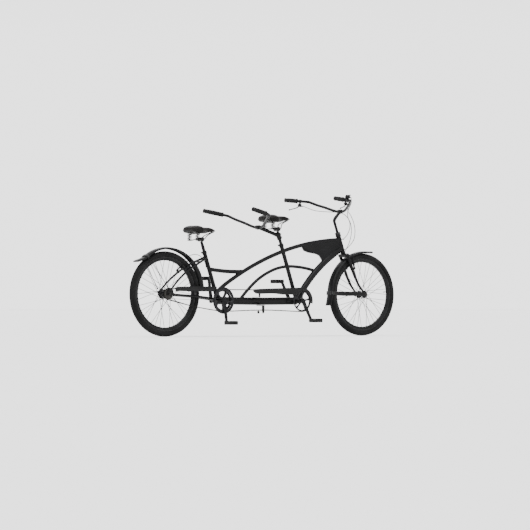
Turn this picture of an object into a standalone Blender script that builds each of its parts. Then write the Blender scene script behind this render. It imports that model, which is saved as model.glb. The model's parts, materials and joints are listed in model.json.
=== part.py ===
"""Tandem cruiser bicycle: two saddles, two handlebars and two cranksets on one long frame.

Metres, +Z up, +X towards the front wheel, the chain side at -Y. The origin lies on the
ground below the middle of the wheelbase. Places along the bicycle are given as s, the
distance ahead of the rear axle, and turned into X by place().
"""

import math

import bmesh
import bpy
import numpy as np
from mathutils import Matrix, Vector

for old in list(bpy.data.objects):
    bpy.data.objects.remove(old, do_unlink=True)

# ---------------------------------------------------------------- driving dimensions
WHEELBASE = 1.965
AXLE_Z = 0.330  # 26 inch wheel with a 2.125 inch tyre
TYRE_RADIUS = 0.330
TYRE_SECTION_RADIUS = 0.027
BEAD_RADIUS = 0.2797
BEAD_HALF_WIDTH = 0.0138
RIM_FLANGE_RADIUS = 0.2855
RIM_INNER_RADIUS = 0.259
RIM_HALF_WIDTH = 0.0168
WHEEL_SEGMENTS = 32
SPOKES_PER_SIDE = 18
SPOKE_RADIUS = 0.001
SPOKE_END_RADIUS = 0.2574
SPOKE_CROSS_DEG = 60.0
AXLE_RADIUS = 0.005
HUB_SEGMENTS = 16
HUBS = {  # half widths across the flanges and over the shell, and the axle's cones and ends
    "front": {
        "s": WHEELBASE,
        "flange_y": 0.034,
        "flange_radius": 0.030,
        "shell_radius": 0.0170,
        "shell_end": 0.0400,
        "cone_start": 0.0405,
        "axle_end": 0.0690,
    },
    "rear": {
        "s": 0.0,
        "flange_y": 0.030,
        "flange_radius": 0.038,
        "shell_radius": 0.0320,
        "shell_end": 0.0370,
        "cone_start": 0.0590,
        "axle_end": 0.0820,
    },
}
GAP = 0.0003  # left between pieces that touch
CUT_GAP = 0.0005  # the same, where a faceted cutter stands in for the neighbour
SIDES = (("left", 1), ("right", -1))

REAR_BB = (0.515, 0.280)
FRONT_BB = (1.298, 0.278)
BB_RADIUS = 0.022
BB_HALF_WIDTH = 0.034
BB_BORE = 0.0105
SPINDLE_RADIUS = 0.008
SEAT_LEAN = -0.348  # change of s with height
SEAT_TUBE_RADIUS = 0.0162
SEAT_POST_RADIUS = 0.0127
SEAT_BORE = 0.0132
REAR_SEAT_TOP = 0.664
FRONT_SEAT_TOP = 0.728
ARCH_RADIUS = 0.0159
MIDDLE_ARCH_RADIUS = 0.0127
BOOM_HALF_WIDTH = 0.021
BOOM_HALF_HEIGHT = 0.030
TANK_HALF = 0.0125

HEAD_FOOT = (1.7815, 0.640)  # a point on the steering axis, level with the fork crown
HEAD_LEAN = -0.36
HEAD_BOTTOM = 0.6605
HEAD_TOP = 0.7895
HEAD_RADIUS = 0.0185
HEAD_BORE = 0.0150
STEERER_RADIUS = 0.0127
STEERER_BORE = 0.0118
QUILL_RADIUS = 0.0111

DROPOUT_Y = {"front": 0.0525, "rear": 0.0625}
DROPOUT_HALF = 0.0025

PITCH = 0.0127
RING_TEETH = 42
COG_TEETH = 22
DRIVE_Y = -0.0535
TIMING_Y = -0.0685
RING_HALF = 0.0011
GUARD_DISC_Y = -0.0757
GUARD_DISC_RADIUS = 0.104
GUARD_DISC_HALF = 0.0008
RING_WINDOWS = 5
RING_WINDOW_AT = 0.050
RING_WINDOW_RADIUS = 0.0165
IDLER_S = 0.917
IDLER_Z = 0.189
IDLER_RADIUS = 0.0120
CHAIN_AT_IDLER_Z = 0.2055

CRANK_LENGTH = 0.175
CRANK_Y = 0.085
CRANK_HALF = 0.007
REAR_CRANK_DEG = 7.7  # forward of straight down, on the chain side
FRONT_CRANK_DEG = 28.0
PEDAL_HALF = (0.038, 0.0445, 0.0155)
PEDAL_Y = 0.142

BAR_RADIUS = 0.0111
BAR_PATH = (
    (0.0, 0.0, 0.0),
    (0.0, 0.030, 0.0),
    (-0.007, 0.070, 0.008),
    (-0.037, 0.140, 0.033),
    (-0.070, 0.200, 0.053),
    (-0.098, 0.245, 0.0720),
)
GRIP_LINE = ((-0.125, 0.2691, 0.0812), (-0.305, 0.3180, 0.0930))
GRIP_RADIUS = 0.0165
FRONT_CLAMP = (1.742, 0.992)
STOKER_CLAMP = (0.912, 0.856)
STOKER_TILT_DEG = 7.3
PERCH_ALONG = 0.057  # from the start of the grip line
SHIFTER_ALONG = 0.022
FRONT_GRIP_ALONG = 0.083
STOKER_GRIP_ALONG = 0.025
CLAMP_RING_RADIUS = 0.0150
LEVER_DROP = (0.26, -0.966)  # outward and down, from the bar to the lever's pivot
LEVER_PIVOT = 0.040
POD_TOP = 0.0345  # the shifter's pod, its cable guide's rise and length, from the bar's axis
GUIDE_RISE = 0.024
GUIDE_END = 0.032
CABLE_RADIUS = 0.0025

PAD_RADIUS = 0.272
STUD_RADIUS = 0.0040
STUD_BOSS_RADIUS = 0.0072
BRAKES = {  # root is how deep the stud starts behind the pivot, inside its blade or stay
    "front": {"pivot": (1.8515, 0.0490, 0.540), "up": (-0.222, 0.975), "reach": 0.115, "root": 0.024},
    "rear": {"pivot": (0.1590, 0.0500, 0.5155), "up": (0.776, 0.630), "reach": 0.105, "root": 0.028},
}


def place(s, y, z):
    """The point s ahead of the rear axle, y to the left and z above the ground."""
    return Vector((s - WHEELBASE / 2, y, z))


def station(point):
    """A world point as the (s, y, z) that place() takes."""
    return (point.x + WHEELBASE / 2, point.y, point.z)


def polar(hub_s, radius, degrees, y=0.0):
    """A point at a radius and an angle round a wheel's axle, the angle counted up from straight ahead."""
    angle = math.radians(degrees)
    return place(hub_s + radius * math.cos(angle), y, AXLE_Z + radius * math.sin(angle))


# ---------------------------------------------------------------- materials
def material(name, colour, roughness, metallic):
    """A Principled material of the piece's own."""
    mat = bpy.data.materials.new(name)
    mat.use_nodes = True
    shader = mat.node_tree.nodes["Principled BSDF"]
    shader.inputs["Base Color"].default_value = (*colour, 1.0)
    shader.inputs["Roughness"].default_value = roughness
    shader.inputs["Metallic"].default_value = metallic
    return mat


FINISHES = {
    "paint": ((0.012, 0.012, 0.013), 0.28, 0.0),
    "satin": ((0.020, 0.020, 0.021), 0.45, 0.2),
    "metal": ((0.045, 0.045, 0.048), 0.38, 0.9),
    "tyre": ((0.016, 0.016, 0.016), 0.85, 0.0),
    "grip": ((0.018, 0.018, 0.018), 0.75, 0.0),
    "leather": ((0.020, 0.017, 0.015), 0.50, 0.0),
    "cable": ((0.015, 0.015, 0.015), 0.40, 0.0),
    "chain": ((0.050, 0.048, 0.045), 0.42, 0.9),
}


# ---------------------------------------------------------------- mesh tools
def make(name, bm, finish="paint"):
    """Turns a bmesh into an object with its faces pointing out, shaded smooth, in its own material."""
    bmesh.ops.recalc_face_normals(bm, faces=bm.faces)
    mesh = bpy.data.meshes.new(name)
    bm.to_mesh(mesh)
    bm.free()
    ob = bpy.data.objects.new(name, mesh)
    bpy.context.scene.collection.objects.link(ob)
    mesh.materials.append(material(name, *FINISHES[finish]))
    shade(mesh)
    return ob


def shade(mesh):
    """Smooth shading that keeps the real edges."""
    mesh.shade_smooth()
    mesh.set_sharp_from_angle(angle=math.radians(35))


def skin(name, rings, closed=False, finish="paint"):
    """Joins rings of equal length into a skin, capped at both ends or closed into a loop."""
    bm = bmesh.new()
    rows = [[bm.verts.new(point) for point in ring] for ring in rings]
    count = len(rows[0])
    last = len(rows) if closed else len(rows) - 1
    for i in range(last):
        here, there = rows[i], rows[(i + 1) % len(rows)]
        for k in range(count):
            bm.faces.new((here[k], here[(k + 1) % count], there[(k + 1) % count], there[k]))
    if not closed:
        bm.faces.new(rows[0])
        bm.faces.new(list(reversed(rows[-1])))
    return make(name, bm, finish)


def smooth(points, steps=3):
    """A Catmull-Rom curve through rows of numbers: places, and any radii that follow them."""
    p = np.array(points, float)
    p = np.vstack([2 * p[0] - p[1], p, 2 * p[-1] - p[-2]])
    rows = []
    for a, b, c, d in zip(p, p[1:], p[2:], p[3:]):
        for t in np.arange(steps) / steps:
            bend = (2 * a - 5 * b + 4 * c - d) * t * t + (3 * b - a - 3 * c + d) * t**3
            rows.append((2 * b + (c - a) * t + bend) / 2)
    rows.append(p[-2])
    return np.array(rows)


def sweep_frames(path, side):
    """A tangent and two cross directions at each point, carried along without twisting."""
    path = [Vector(p) for p in path]
    cross = Vector(side)
    frames = []
    for i, here in enumerate(path):
        ahead = path[min(i + 1, len(path) - 1)]
        behind = path[max(i - 1, 0)]
        tangent = (ahead - behind).normalized()
        cross = (cross - tangent * cross.dot(tangent)).normalized()
        frames.append((here, tangent, cross, tangent.cross(cross)))
    return frames


def tube(name, stations, radius=None, sides=12, side=(0, 1, 0), finish="paint"):
    """A solid tube through (s, y, z) stations; a station may add its radii across and in the bend."""
    stations = np.array(stations, float)
    path = [place(*row[:3]) for row in stations]
    rings = []
    for row, (here, _, cross, other) in zip(stations, sweep_frames(path, side)):
        wide = row[3] if len(row) > 3 else radius
        deep = row[4] if len(row) > 4 else wide
        turns = [2 * math.pi * (k + 0.5) / sides for k in range(sides)]
        rings.append([here + cross * wide * math.cos(a) + other * deep * math.sin(a) for a in turns])
    return skin(name, rings, finish=finish)


def turned(name, profile, centre, axis=(0, 1, 0), sides=20, finish="paint"):
    """A closed profile of (radius, distance along the axis) spun round the axis through the centre."""
    axis = Vector(axis).normalized()
    cross = axis.orthogonal().normalized()
    if abs(axis.y) > 0.99:
        cross = Vector((1, 0, 0))
    other = axis.cross(cross)
    rings = []
    for k in range(sides):
        angle = 2 * math.pi * k / sides
        out = cross * math.cos(angle) + other * math.sin(angle)
        rings.append([Vector(centre) + out * r + axis * t for r, t in profile])
    return skin(name, rings, closed=True, finish=finish)


def rod(name, start, end, radius, sides=12, finish="paint"):
    """A plain cylinder between two world points."""
    start, end = Vector(start), Vector(end)
    axis = (end - start).normalized()
    cross = axis.orthogonal().normalized()
    if abs(axis.y) > 0.99:
        cross = Vector((1, 0, 0))
    elif abs(axis.y) < 0.01:
        cross = Vector((0, 1, 0))
    other = axis.cross(cross)
    turns = [2 * math.pi * (k + 0.5) / sides for k in range(sides)]
    around = [(cross * math.cos(a) + other * math.sin(a)) * radius for a in turns]
    return skin(name, [[start + o for o in around], [end + o for o in around]], finish=finish)


def prism(name, outline, y0, y1, finish="paint"):
    """A flat plate: an outline of (s, z) points between two widths."""
    rings = [[place(s, y, z) for s, z in outline] for y in (y0, y1)]
    return skin(name, rings, finish=finish)


def block(name, low, high, finish="paint"):
    """A box between two (s, y, z) corners."""
    outline = [(low[0], low[2]), (high[0], low[2]), (high[0], high[2]), (low[0], high[2])]
    return prism(name, outline, low[1], high[1], finish)


def combine(target, others, operation):
    """Applies exact Booleans to the target and removes the other operands."""
    for other in others:
        modifier = target.modifiers.new(operation.lower(), "BOOLEAN")
        modifier.operation = operation
        modifier.solver = "EXACT"
        modifier.object = other
    graph = bpy.context.evaluated_depsgraph_get()
    result = bpy.data.meshes.new_from_object(target.evaluated_get(graph))
    finish = target.data.materials[0]
    target.modifiers.clear()
    target.data = result
    result.name = target.name
    result.materials.clear()
    result.materials.append(finish)
    result.polygons.foreach_set("material_index", [0] * len(result.polygons))
    shade(result)
    for other in others:
        bpy.data.objects.remove(other, do_unlink=True)
    return target


def union(target, *others):
    """Welds the others to the target."""
    return combine(target, others, "UNION")


def cut(target, *others):
    """Takes the others out of the target."""
    return combine(target, others, "DIFFERENCE")


def pivot(name, where, *children):
    """An empty on a joint's axis, with the pieces that turn about it as its children."""
    empty = bpy.data.objects.new(name, None)
    empty.location = where
    empty.empty_display_size = 0.05
    bpy.context.scene.collection.objects.link(empty)
    for child in children:
        child.parent = empty
        child.matrix_parent_inverse = Matrix.Translation(-Vector(where))
    return empty


# ---------------------------------------------------------------- shared geometry
HEAD_AXIS = Vector((HEAD_LEAN, 0, 1)).normalized()
SEAT_AXIS = Vector((SEAT_LEAN, 0, 1)).normalized()
PITCH_RADIUS = PITCH / (2 * math.sin(math.pi / RING_TEETH))
COG_RADIUS = PITCH / (2 * math.sin(math.pi / COG_TEETH))


def on_head(z):
    """The point of the steering axis at a height."""
    return place(HEAD_FOOT[0] + HEAD_LEAN * (z - HEAD_FOOT[1]), 0, z)


def seat_station(bracket, z):
    """The (s, y, z) of a seat tube's axis at a height."""
    return (bracket[0] + SEAT_LEAN * (z - bracket[1]), 0, z)


def flat(points):
    """(s, z) points in the middle plane."""
    return [(s, 0, z) for s, z in points]


UPPER_ARCH = flat(
    [(0.497, 0.340), (0.60, 0.414), (0.80, 0.5245), (1.00, 0.613)]
    + [(1.20, 0.6815), (1.40, 0.7295), (1.60, 0.7575), (1.737, 0.767)]
)
MIDDLE_ARCH = flat(
    [(0.725, 0.278), (0.80, 0.355), (0.90, 0.438), (1.00, 0.4955)]
    + [(1.10, 0.533), (1.20, 0.5495), (1.30, 0.548), (1.40, 0.5355), (1.478, 0.5185)]
)
REAR_TOP = flat([(0.434, 0.5235), (0.50, 0.516), (0.60, 0.508), (0.70, 0.5055), (0.765, 0.507)])
DOWN_TUBE = [
    (1.757, 0, 0.698, 0.0165, 0.0230),
    (1.720, 0, 0.678, 0.0220, 0.0254),
    (1.6865, 0, 0.657, 0.0254, 0.0254),
    (1.584, 0, 0.587, 0.0254, 0.0254),
    (1.482, 0, 0.500, 0.0254, 0.0254),
    (1.400, 0, 0.413, 0.0254, 0.0254),
    (1.345, 0, 0.342, 0.0245, 0.0254),
    (1.303, 0, 0.286, 0.0230, 0.0230),
]


# ---------------------------------------------------------------- main frame
def bracket_shell(name, bracket, radius=BB_RADIUS, half=BB_HALF_WIDTH):
    """A cylinder across the frame on a crank axis: a bottom-bracket shell, its bore or its clearance."""
    s, z = bracket
    return rod(name, place(s, -half, z), place(s, half, z), radius, 16)


def seat_tube(name, bracket, top, radius):
    """A tube on the seat tube's line, from the crank axis up to a height."""
    return tube(name, [seat_station(bracket, bracket[1]), seat_station(bracket, top)], radius, 12)


def axle_hole(hub_s):
    """A cutter for the axle's hole through a pair of dropouts."""
    return rod("bore", place(hub_s, -0.09, AXLE_Z), place(hub_s, 0.09, AXLE_Z), AXLE_RADIUS + 0.0010, 12)


def head_barrel(name, radius, low=HEAD_BOTTOM, high=HEAD_TOP):
    """A cylinder on the steering axis between two heights."""
    return rod(name, on_head(low), on_head(high), radius, 16)


def main_frame():
    """The boom, arches, down tube, head tube, seat tubes and bracket shells, welded and bored."""
    boom = [(REAR_BB[0], 0, 0.277), (0.900, 0, 0.275), (FRONT_BB[0], 0, 0.276)]
    stations = [(*p, BOOM_HALF_WIDTH, BOOM_HALF_HEIGHT) for p in boom]
    frame = tube("frame", stations, sides=14)
    pieces = [
        tube("upper_arch", smooth(UPPER_ARCH, 2), ARCH_RADIUS, 10),
        tube("middle_arch", smooth(MIDDLE_ARCH, 1), MIDDLE_ARCH_RADIUS, 10),
        tube("rear_top", REAR_TOP, ARCH_RADIUS, 10),
        tube("down_tube", DOWN_TUBE, sides=14),
        head_barrel("head_tube", HEAD_RADIUS, HEAD_BOTTOM + 0.0020),
        head_barrel("lower_cup", HEAD_RADIUS + 0.0028, HEAD_BOTTOM, HEAD_BOTTOM + 0.0080),
        bracket_shell("rear_shell", REAR_BB),
        bracket_shell("front_shell", FRONT_BB),
        seat_tube("rear_seat_tube", REAR_BB, REAR_SEAT_TOP, SEAT_TUBE_RADIUS),
        seat_tube("front_seat_tube", FRONT_BB, FRONT_SEAT_TOP, SEAT_TUBE_RADIUS),
    ]
    for bracket, top in ((REAR_BB, REAR_SEAT_TOP), (FRONT_BB, FRONT_SEAT_TOP)):
        collar = [seat_station(bracket, top - 0.022), seat_station(bracket, top - 0.001)]
        pieces.append(tube("collar", collar, SEAT_TUBE_RADIUS + 0.003, 12))
        s, _, z = seat_station(bracket, top - 0.012)
        pieces.append(block("ear", (s - 0.032, -0.007, z - 0.008), (s - 0.010, 0.007, z + 0.008)))
    union(frame, *pieces)
    holes = [rod("bore", on_head(0.63), on_head(0.82), HEAD_BORE, 18)]
    for bracket, top in ((REAR_BB, REAR_SEAT_TOP), (FRONT_BB, FRONT_SEAT_TOP)):
        ends = [seat_station(bracket, top - 0.115), seat_station(bracket, top + 0.03)]
        holes.append(tube("bore", ends, SEAT_BORE, 12))
        holes.append(bracket_shell("bore", bracket, BB_BORE, 0.06))
    return cut(frame, *holes)


REAR_DROPOUT = (
    (-0.020, 0.318),
    (0.030, 0.314),
    (0.048, 0.324),
    (0.030, 0.372),
    (0.008, 0.374),
    (-0.020, 0.345),
)


def brake_stud(end, sign):
    """The stud that a brake arm turns on, and the boss that carries it out of its blade or stay."""
    frame = brake_frame(end, sign)
    root = frame["pivot"] - frame["axis"] * BRAKES[end]["root"]
    stud = rod("stud", root, frame["pivot"] + frame["axis"] * 0.0075, STUD_RADIUS, 10)
    boss = rod("boss", root, frame["pivot"] - frame["axis"] * 0.0065, STUD_BOSS_RADIUS, 10)
    return [stud, boss]


def dropout(end, sign, outline):
    """One side's dropout plate, with the axle's hole through it."""
    y0, y1 = sorted(sign * (DROPOUT_Y[end] + d) for d in (-DROPOUT_HALF, DROPOUT_HALF))
    return cut(prism("dropout", outline, y0, y1), axle_hole(HUBS[end]["s"]))


def rear_stays():
    """Chain stays, seat stays, dropouts and bridges, welded into one piece behind the seat tube."""
    pieces = []
    for sign in (1, -1):
        chain_stay = [
            (0.500, 0.022, 0.286, 0.0105),
            (0.440, 0.032, 0.293, 0.0105),
            (0.385, 0.0460, 0.300, 0.0095),
            (0.270, 0.0480, 0.312, 0.0095),
            (0.140, 0.0545, 0.320, 0.0090),
            (0.060, 0.0625, 0.326, 0.0075),
            (0.018, 0.0628, 0.329, 0.0055),
        ]
        seat_stay = [
            (0.010, 0.0652, 0.349, 0.0055),
            (0.030, 0.0652, 0.380, 0.0068),
            (0.100, 0.0580, 0.447, 0.0085),
            (0.200, 0.0500, 0.520, 0.0090),
            (0.290, 0.0470, 0.567, 0.0090),
            (0.345, 0.0330, 0.592, 0.0085),
            (0.392, 0.0120, 0.614, 0.0085),
        ]
        for name, line in (("chain_stay", chain_stay), ("seat_stay", seat_stay)):
            pieces.append(tube(name, [(s, sign * y, z, r) for s, y, z, r in line], sides=8))
        pieces.append(dropout("rear", sign, REAR_DROPOUT))
        pieces += brake_stud("rear", sign)
    pieces.append(rod("bridge", place(0.392, -0.043, 0.300), place(0.392, 0.043, 0.300), 0.0065, 10))
    pieces.append(rod("bridge", place(0.318, -0.042, 0.581), place(0.318, 0.042, 0.581), 0.0065, 10))
    pieces.append(block("gusset", (0.375, -0.012, 0.606), (0.392, 0.012, 0.622)))
    stays = union(pieces[0], *pieces[1:])
    stays.name = "rear_stays"
    stays.data.name = "rear_stays"
    boom_end = [(0.30, 0, 0.2758), (0.60, 0, 0.2766)]
    clear = [
        seat_tube("clear", REAR_BB, 0.70, SEAT_TUBE_RADIUS + CUT_GAP),
        bracket_shell("clear", REAR_BB, BB_RADIUS + CUT_GAP, 0.05),
        tube("clear", boom_end, BOOM_HALF_HEIGHT + CUT_GAP, sides=16),
    ]
    return cut(stays, *clear)


def frame_tank():
    """The closed panel between the upper arch and the down tube, behind the head tube."""
    outline = [(1.350, 0.712), (1.375, 0.675), (1.415, 0.661), (1.500, 0.649), (1.535, 0.634)]
    outline += [(1.570, 0.585), (1.684, 0.655), (1.760, 0.700), (1.735, 0.760), (1.600, 0.755)]
    outline += [(1.450, 0.738)]
    tank = prism("frame_tank", outline, -TANK_HALF, TANK_HALF)
    arch = tube("clear", smooth(UPPER_ARCH, 2)[8:], ARCH_RADIUS + CUT_GAP, 10)
    wide = [(*row[:3], row[3] + CUT_GAP, row[4] + CUT_GAP) for row in DOWN_TUBE]
    down = tube("clear", wide, sides=14)
    head = head_barrel("clear", HEAD_RADIUS + 2 * CUT_GAP, 0.60, 0.85)
    return cut(tank, arch, down, head)


# ---------------------------------------------------------------- wheels
def mirrored(side):
    """A turned profile's (radius, y) points and their mirror images, as one closed round."""
    return side + [(r, -y) for r, y in reversed(side)]


def tyre_profile():
    """A round tread and sidewalls, and a square bead that sits in the rim."""
    middle = TYRE_RADIUS - TYRE_SECTION_RADIUS
    turns = [math.radians(a) for a in np.linspace(-122, 122, 7)]
    tread = [(middle + TYRE_SECTION_RADIUS * math.cos(a), TYRE_SECTION_RADIUS * math.sin(a)) for a in turns]
    lip, seat = RIM_FLANGE_RADIUS + 0.0009, BEAD_RADIUS + GAP
    return tread + mirrored([(lip, BEAD_HALF_WIDTH), (seat, BEAD_HALF_WIDTH)])


def rim_profile():
    """A rim with a bead seat between two flanges, narrower towards the spokes."""
    seat = BEAD_HALF_WIDTH + 0.0005
    flange = [(RIM_FLANGE_RADIUS, RIM_HALF_WIDTH), (RIM_FLANGE_RADIUS, seat), (BEAD_RADIUS, seat)]
    wall = [(0.268, 0.0150), (RIM_INNER_RADIUS, 0.0085)]
    return mirrored(flange) + [(r, -y) for r, y in wall] + list(reversed(wall))


def hub_profile(flange_y, flange_r, shell_r, shell_end):
    """A barrel with a spoke flange near each end, bored clear of the axle."""
    side = [(AXLE_RADIUS + 0.0012, shell_end), (shell_r * 0.72, shell_end)]
    side += [(shell_r * 0.80, flange_y + 0.002), (flange_r, flange_y + 0.002)]
    side += [(flange_r, flange_y - 0.002), (shell_r, flange_y - 0.0045)]
    return mirrored(side)


def wheel(end):
    """The tyre, the rim, and the hub with its crossed spokes."""
    size = HUBS[end]
    hub_s, flange_y, flange_r = size["s"], size["flange_y"], size["flange_radius"]
    centre = place(hub_s, 0, AXLE_Z)
    tyre = turned(end + "_tyre", tyre_profile(), centre, sides=WHEEL_SEGMENTS, finish="tyre")
    rim = turned(end + "_rim", rim_profile(), centre, sides=WHEEL_SEGMENTS, finish="satin")
    profile = hub_profile(flange_y, flange_r, size["shell_radius"], size["shell_end"])
    hub = turned(end + "_hub", profile, centre, sides=HUB_SEGMENTS, finish="metal")
    spokes = []
    for k in range(2 * SPOKES_PER_SIDE):
        sign = 1 if k % 2 else -1
        turn = 180.0 * k / SPOKES_PER_SIDE
        lead = 1 if k % 4 < 2 else -1
        inner = polar(hub_s, flange_r - 0.004, turn, sign * (flange_y + lead * 0.0022))
        outer = polar(hub_s, SPOKE_END_RADIUS, turn + lead * SPOKE_CROSS_DEG, sign * 0.003)
        spokes.append(rod("spoke", inner, outer, SPOKE_RADIUS, 3))
    union(hub, *spokes)
    return tyre, rim, hub


def axle(end):
    """The axle with its cones and nuts, held in the dropouts."""
    inner_end, reach = HUBS[end]["cone_start"], HUBS[end]["axle_end"]
    inside = DROPOUT_Y[end] - DROPOUT_HALF - GAP
    outside = DROPOUT_Y[end] + DROPOUT_HALF + GAP
    side = [(AXLE_RADIUS, inner_end), (0.0085, inner_end), (0.0085, inside), (AXLE_RADIUS, inside)]
    side += [(AXLE_RADIUS, outside), (0.0098, outside), (0.0092, outside + 0.0090)]
    side += [(AXLE_RADIUS, outside + 0.0090)]
    side += [(AXLE_RADIUS, reach), (0.0, reach)]
    profile = [(r, -t) for r, t in reversed(side)] + side
    rings = []
    bm = bmesh.new()
    sides = 8
    centre = place(HUBS[end]["s"], 0, AXLE_Z)
    turns = [2 * math.pi * k / sides for k in range(sides)]
    for r, t in profile:
        if r == 0.0:
            rings.append([bm.verts.new(centre + Vector((0, t, 0)))])
            continue
        ring = [centre + Vector((r * math.cos(a), t, r * math.sin(a))) for a in turns]
        rings.append([bm.verts.new(point) for point in ring])
    for here, there in zip(rings, rings[1:]):
        for k in range(sides):
            corners = [here[k % len(here)], here[(k + 1) % len(here)]]
            corners += [there[(k + 1) % len(there)], there[k % len(there)]]
            bm.faces.new(list(dict.fromkeys(corners)))
    return make(end + "_axle", bm, "metal")


# ---------------------------------------------------------------- fenders
FENDER_HALF = 0.034
FENDER_DROP = -0.016  # from the crown of the fender to its edges
FENDER_SECTION = [(FENDER_HALF, FENDER_DROP), (0.0315, -0.007), (0.020, -0.0018), (0.0, 0.0)]
FENDER_WALL = 0.0015
FENDERS = {  # angles round the axle from straight ahead, and the crown's radius at each
    "rear": {
        "degrees": (8.6, 30, 50, 70, 90, 110, 119, 126, 131, 138),
        "radii": (0.369, 0.373, 0.372, 0.367, 0.362, 0.354, 0.3495, 0.3500, 0.3590, 0.3810),
        "parts": 16,
    },
    "front": {
        "degrees": (74.7, 80, 100, 130, 170, 181, 188, 194.2),
        "radii": (0.3600, 0.352, 0.343, 0.3355, 0.3345, 0.3365, 0.3470, 0.3640),
        "parts": 15,
    },
}


def fender(end):
    """A rolled metal fender whose outer radius changes along its length."""
    hub_s = HUBS[end]["s"]
    degrees, radii = FENDERS[end]["degrees"], FENDERS[end]["radii"]
    out = FENDER_SECTION + [(-y, d) for y, d in reversed(FENDER_SECTION[:-1])]
    inner = [(y * (1 - FENDER_WALL / FENDER_HALF), d - FENDER_WALL) for y, d in out[1:-1]]
    edge = FENDER_HALF - FENDER_WALL
    inner = [(edge, FENDER_DROP)] + inner + [(-edge, FENDER_DROP)]
    section = out + list(reversed(inner))
    rings = []
    for turn in np.linspace(degrees[0], degrees[-1], FENDERS[end]["parts"] + 1):
        radius = np.interp(turn, degrees, radii)
        rings.append([polar(hub_s, radius + d, turn, y) for y, d in section])
    return skin(end + "_fender", rings)


STRAP_THICKNESS = 0.0016
STRAP_EDGE = (0.0365, -0.021)  # where a strap ends, at the fender's edge


def fender_strap(end, turn, radius, half_width):
    """A flat strap that hugs the outside of the fender from edge to edge."""
    line = [STRAP_EDGE, (0.0345, -0.004), (0.021, 0.0020), (0.0, 0.0030)]
    line += [(-y, d) for y, d in reversed(line[:-1])]
    reach = (polar(0, 1, turn + 90) - polar(0, 0, 0)) * half_width
    rings = []
    for y, d in line:
        at_edge = d == STRAP_EDGE[1]
        lift = 0.0 if at_edge else STRAP_THICKNESS
        spread = math.copysign(STRAP_THICKNESS, y) if at_edge else 0.0
        low = polar(HUBS[end]["s"], radius + d, turn, y)
        high = polar(HUBS[end]["s"], radius + d + lift, turn, y * 1.05 + spread)
        rings.append([low - reach, low + reach, high + reach, high - reach])
    return skin(end + "_fender_stay", rings, finish="satin")


# ---------------------------------------------------------------- drive train
def toothed(name, bracket, teeth, radius, y, finish="satin"):
    """A toothed disc about a crank or wheel axis, in a chain's plane."""
    s, z = bracket
    tip, root = radius + 0.0010, radius - 0.0040
    outline = []
    for k in range(teeth):
        for share, r in ((-0.25, root), (0.25, tip)):
            angle = 2 * math.pi * (k + share) / teeth
            outline.append((s + r * math.cos(angle), z + r * math.sin(angle)))
    return prism(name, outline, y - RING_HALF, y + RING_HALF, finish)


def belt(rear, rear_r, front, front_r, lower):
    """Points of a chain's loop with their outward directions, front arc first, then over the top."""
    gap = Vector((front[0] - rear[0], front[1] - rear[1]))
    lean = math.atan2(gap.y, gap.x)
    wrap = math.acos((rear_r - front_r) / gap.length)
    points = []
    for centre, r, start, end in (
        (front, front_r, lean - wrap, lean + wrap),
        (rear, rear_r, lean + wrap, lean - wrap + 2 * math.pi),
    ):
        steps = math.ceil((end - start) / math.radians(13 if r > 0.06 else 18))
        for angle in np.linspace(start, end, steps + 1):
            points.append((centre[0] + r * math.cos(angle), centre[1] + r * math.sin(angle)))
    run = smooth([points[-1], *lower, points[0]], 3)
    points += [tuple(p) for p in run[1:-1]]
    return points


def chain(name, points, y):
    """A chain's envelope: side plates and a closed back, open inwards so that the teeth fit in it."""
    section = [(-0.0042, -0.0035), (0.0042, -0.0035), (0.0042, 0.0035), (-0.0042, 0.0035)]
    section += [(-0.0042, 0.0018), (0.0024, 0.0018), (0.0024, -0.0018), (-0.0042, -0.0018)]
    rings = []
    count = len(points)
    for i, (s, z) in enumerate(points):
        before, after = points[i - 1], points[(i + 1) % count]
        along = Vector((after[0] - before[0], after[1] - before[1])).normalized()
        out = Vector((along.y, -along.x))
        rings.append([place(s + out.x * d, y + across, z + out.y * d) for d, across in section])
    return skin(name, rings, closed=True, finish="chain")


CRANK_SHAPE = (  # distance down the arm, half width
    (-0.020, 0.010),
    (-0.006, 0.019),
    (0.020, 0.017),
    (0.150, 0.0115),
    (0.172, 0.0135),
    (0.188, 0.008),
)
CRANK_SECTION = (  # distance from the middle of the arm's thickness, share of its width
    (-CRANK_HALF, 0.92),
    (-0.004, 1.0),
    (0.004, 1.0),
    (CRANK_HALF, 0.86),
)


def crank_arm(name, bracket, degrees, sign):
    """A tapered arm from the spindle to the pedal, with the pedal's own axle."""
    s, z = bracket
    turn = math.radians(degrees)
    down = Vector((math.sin(turn), -math.cos(turn)))
    across = Vector((down.y, -down.x))
    outline = [*CRANK_SHAPE, *((t, -h) for t, h in reversed(CRANK_SHAPE))]
    rings = []
    for offset, slim in CRANK_SECTION:
        ring = []
        for t, h in outline:
            p = down * t + across * h * slim
            ring.append(place(s + p.x, sign * (CRANK_Y + offset), z + p.y))
        rings.append(ring)
    arm = skin(name, rings, finish="metal")
    end = place(s + down.x * CRANK_LENGTH, 0, z + down.y * CRANK_LENGTH)
    outer = CRANK_Y + CRANK_HALF
    pin_end = PEDAL_Y + PEDAL_HALF[1] - 0.001
    root, tip, shoulder = (end + Vector((0, sign * y, 0)) for y in (outer - 0.002, pin_end, outer + 0.004))
    union(arm, rod("pin", root, tip, AXLE_RADIUS, 10), rod("collar", root, shoulder, 0.0085, 12))
    return arm, end


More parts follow.
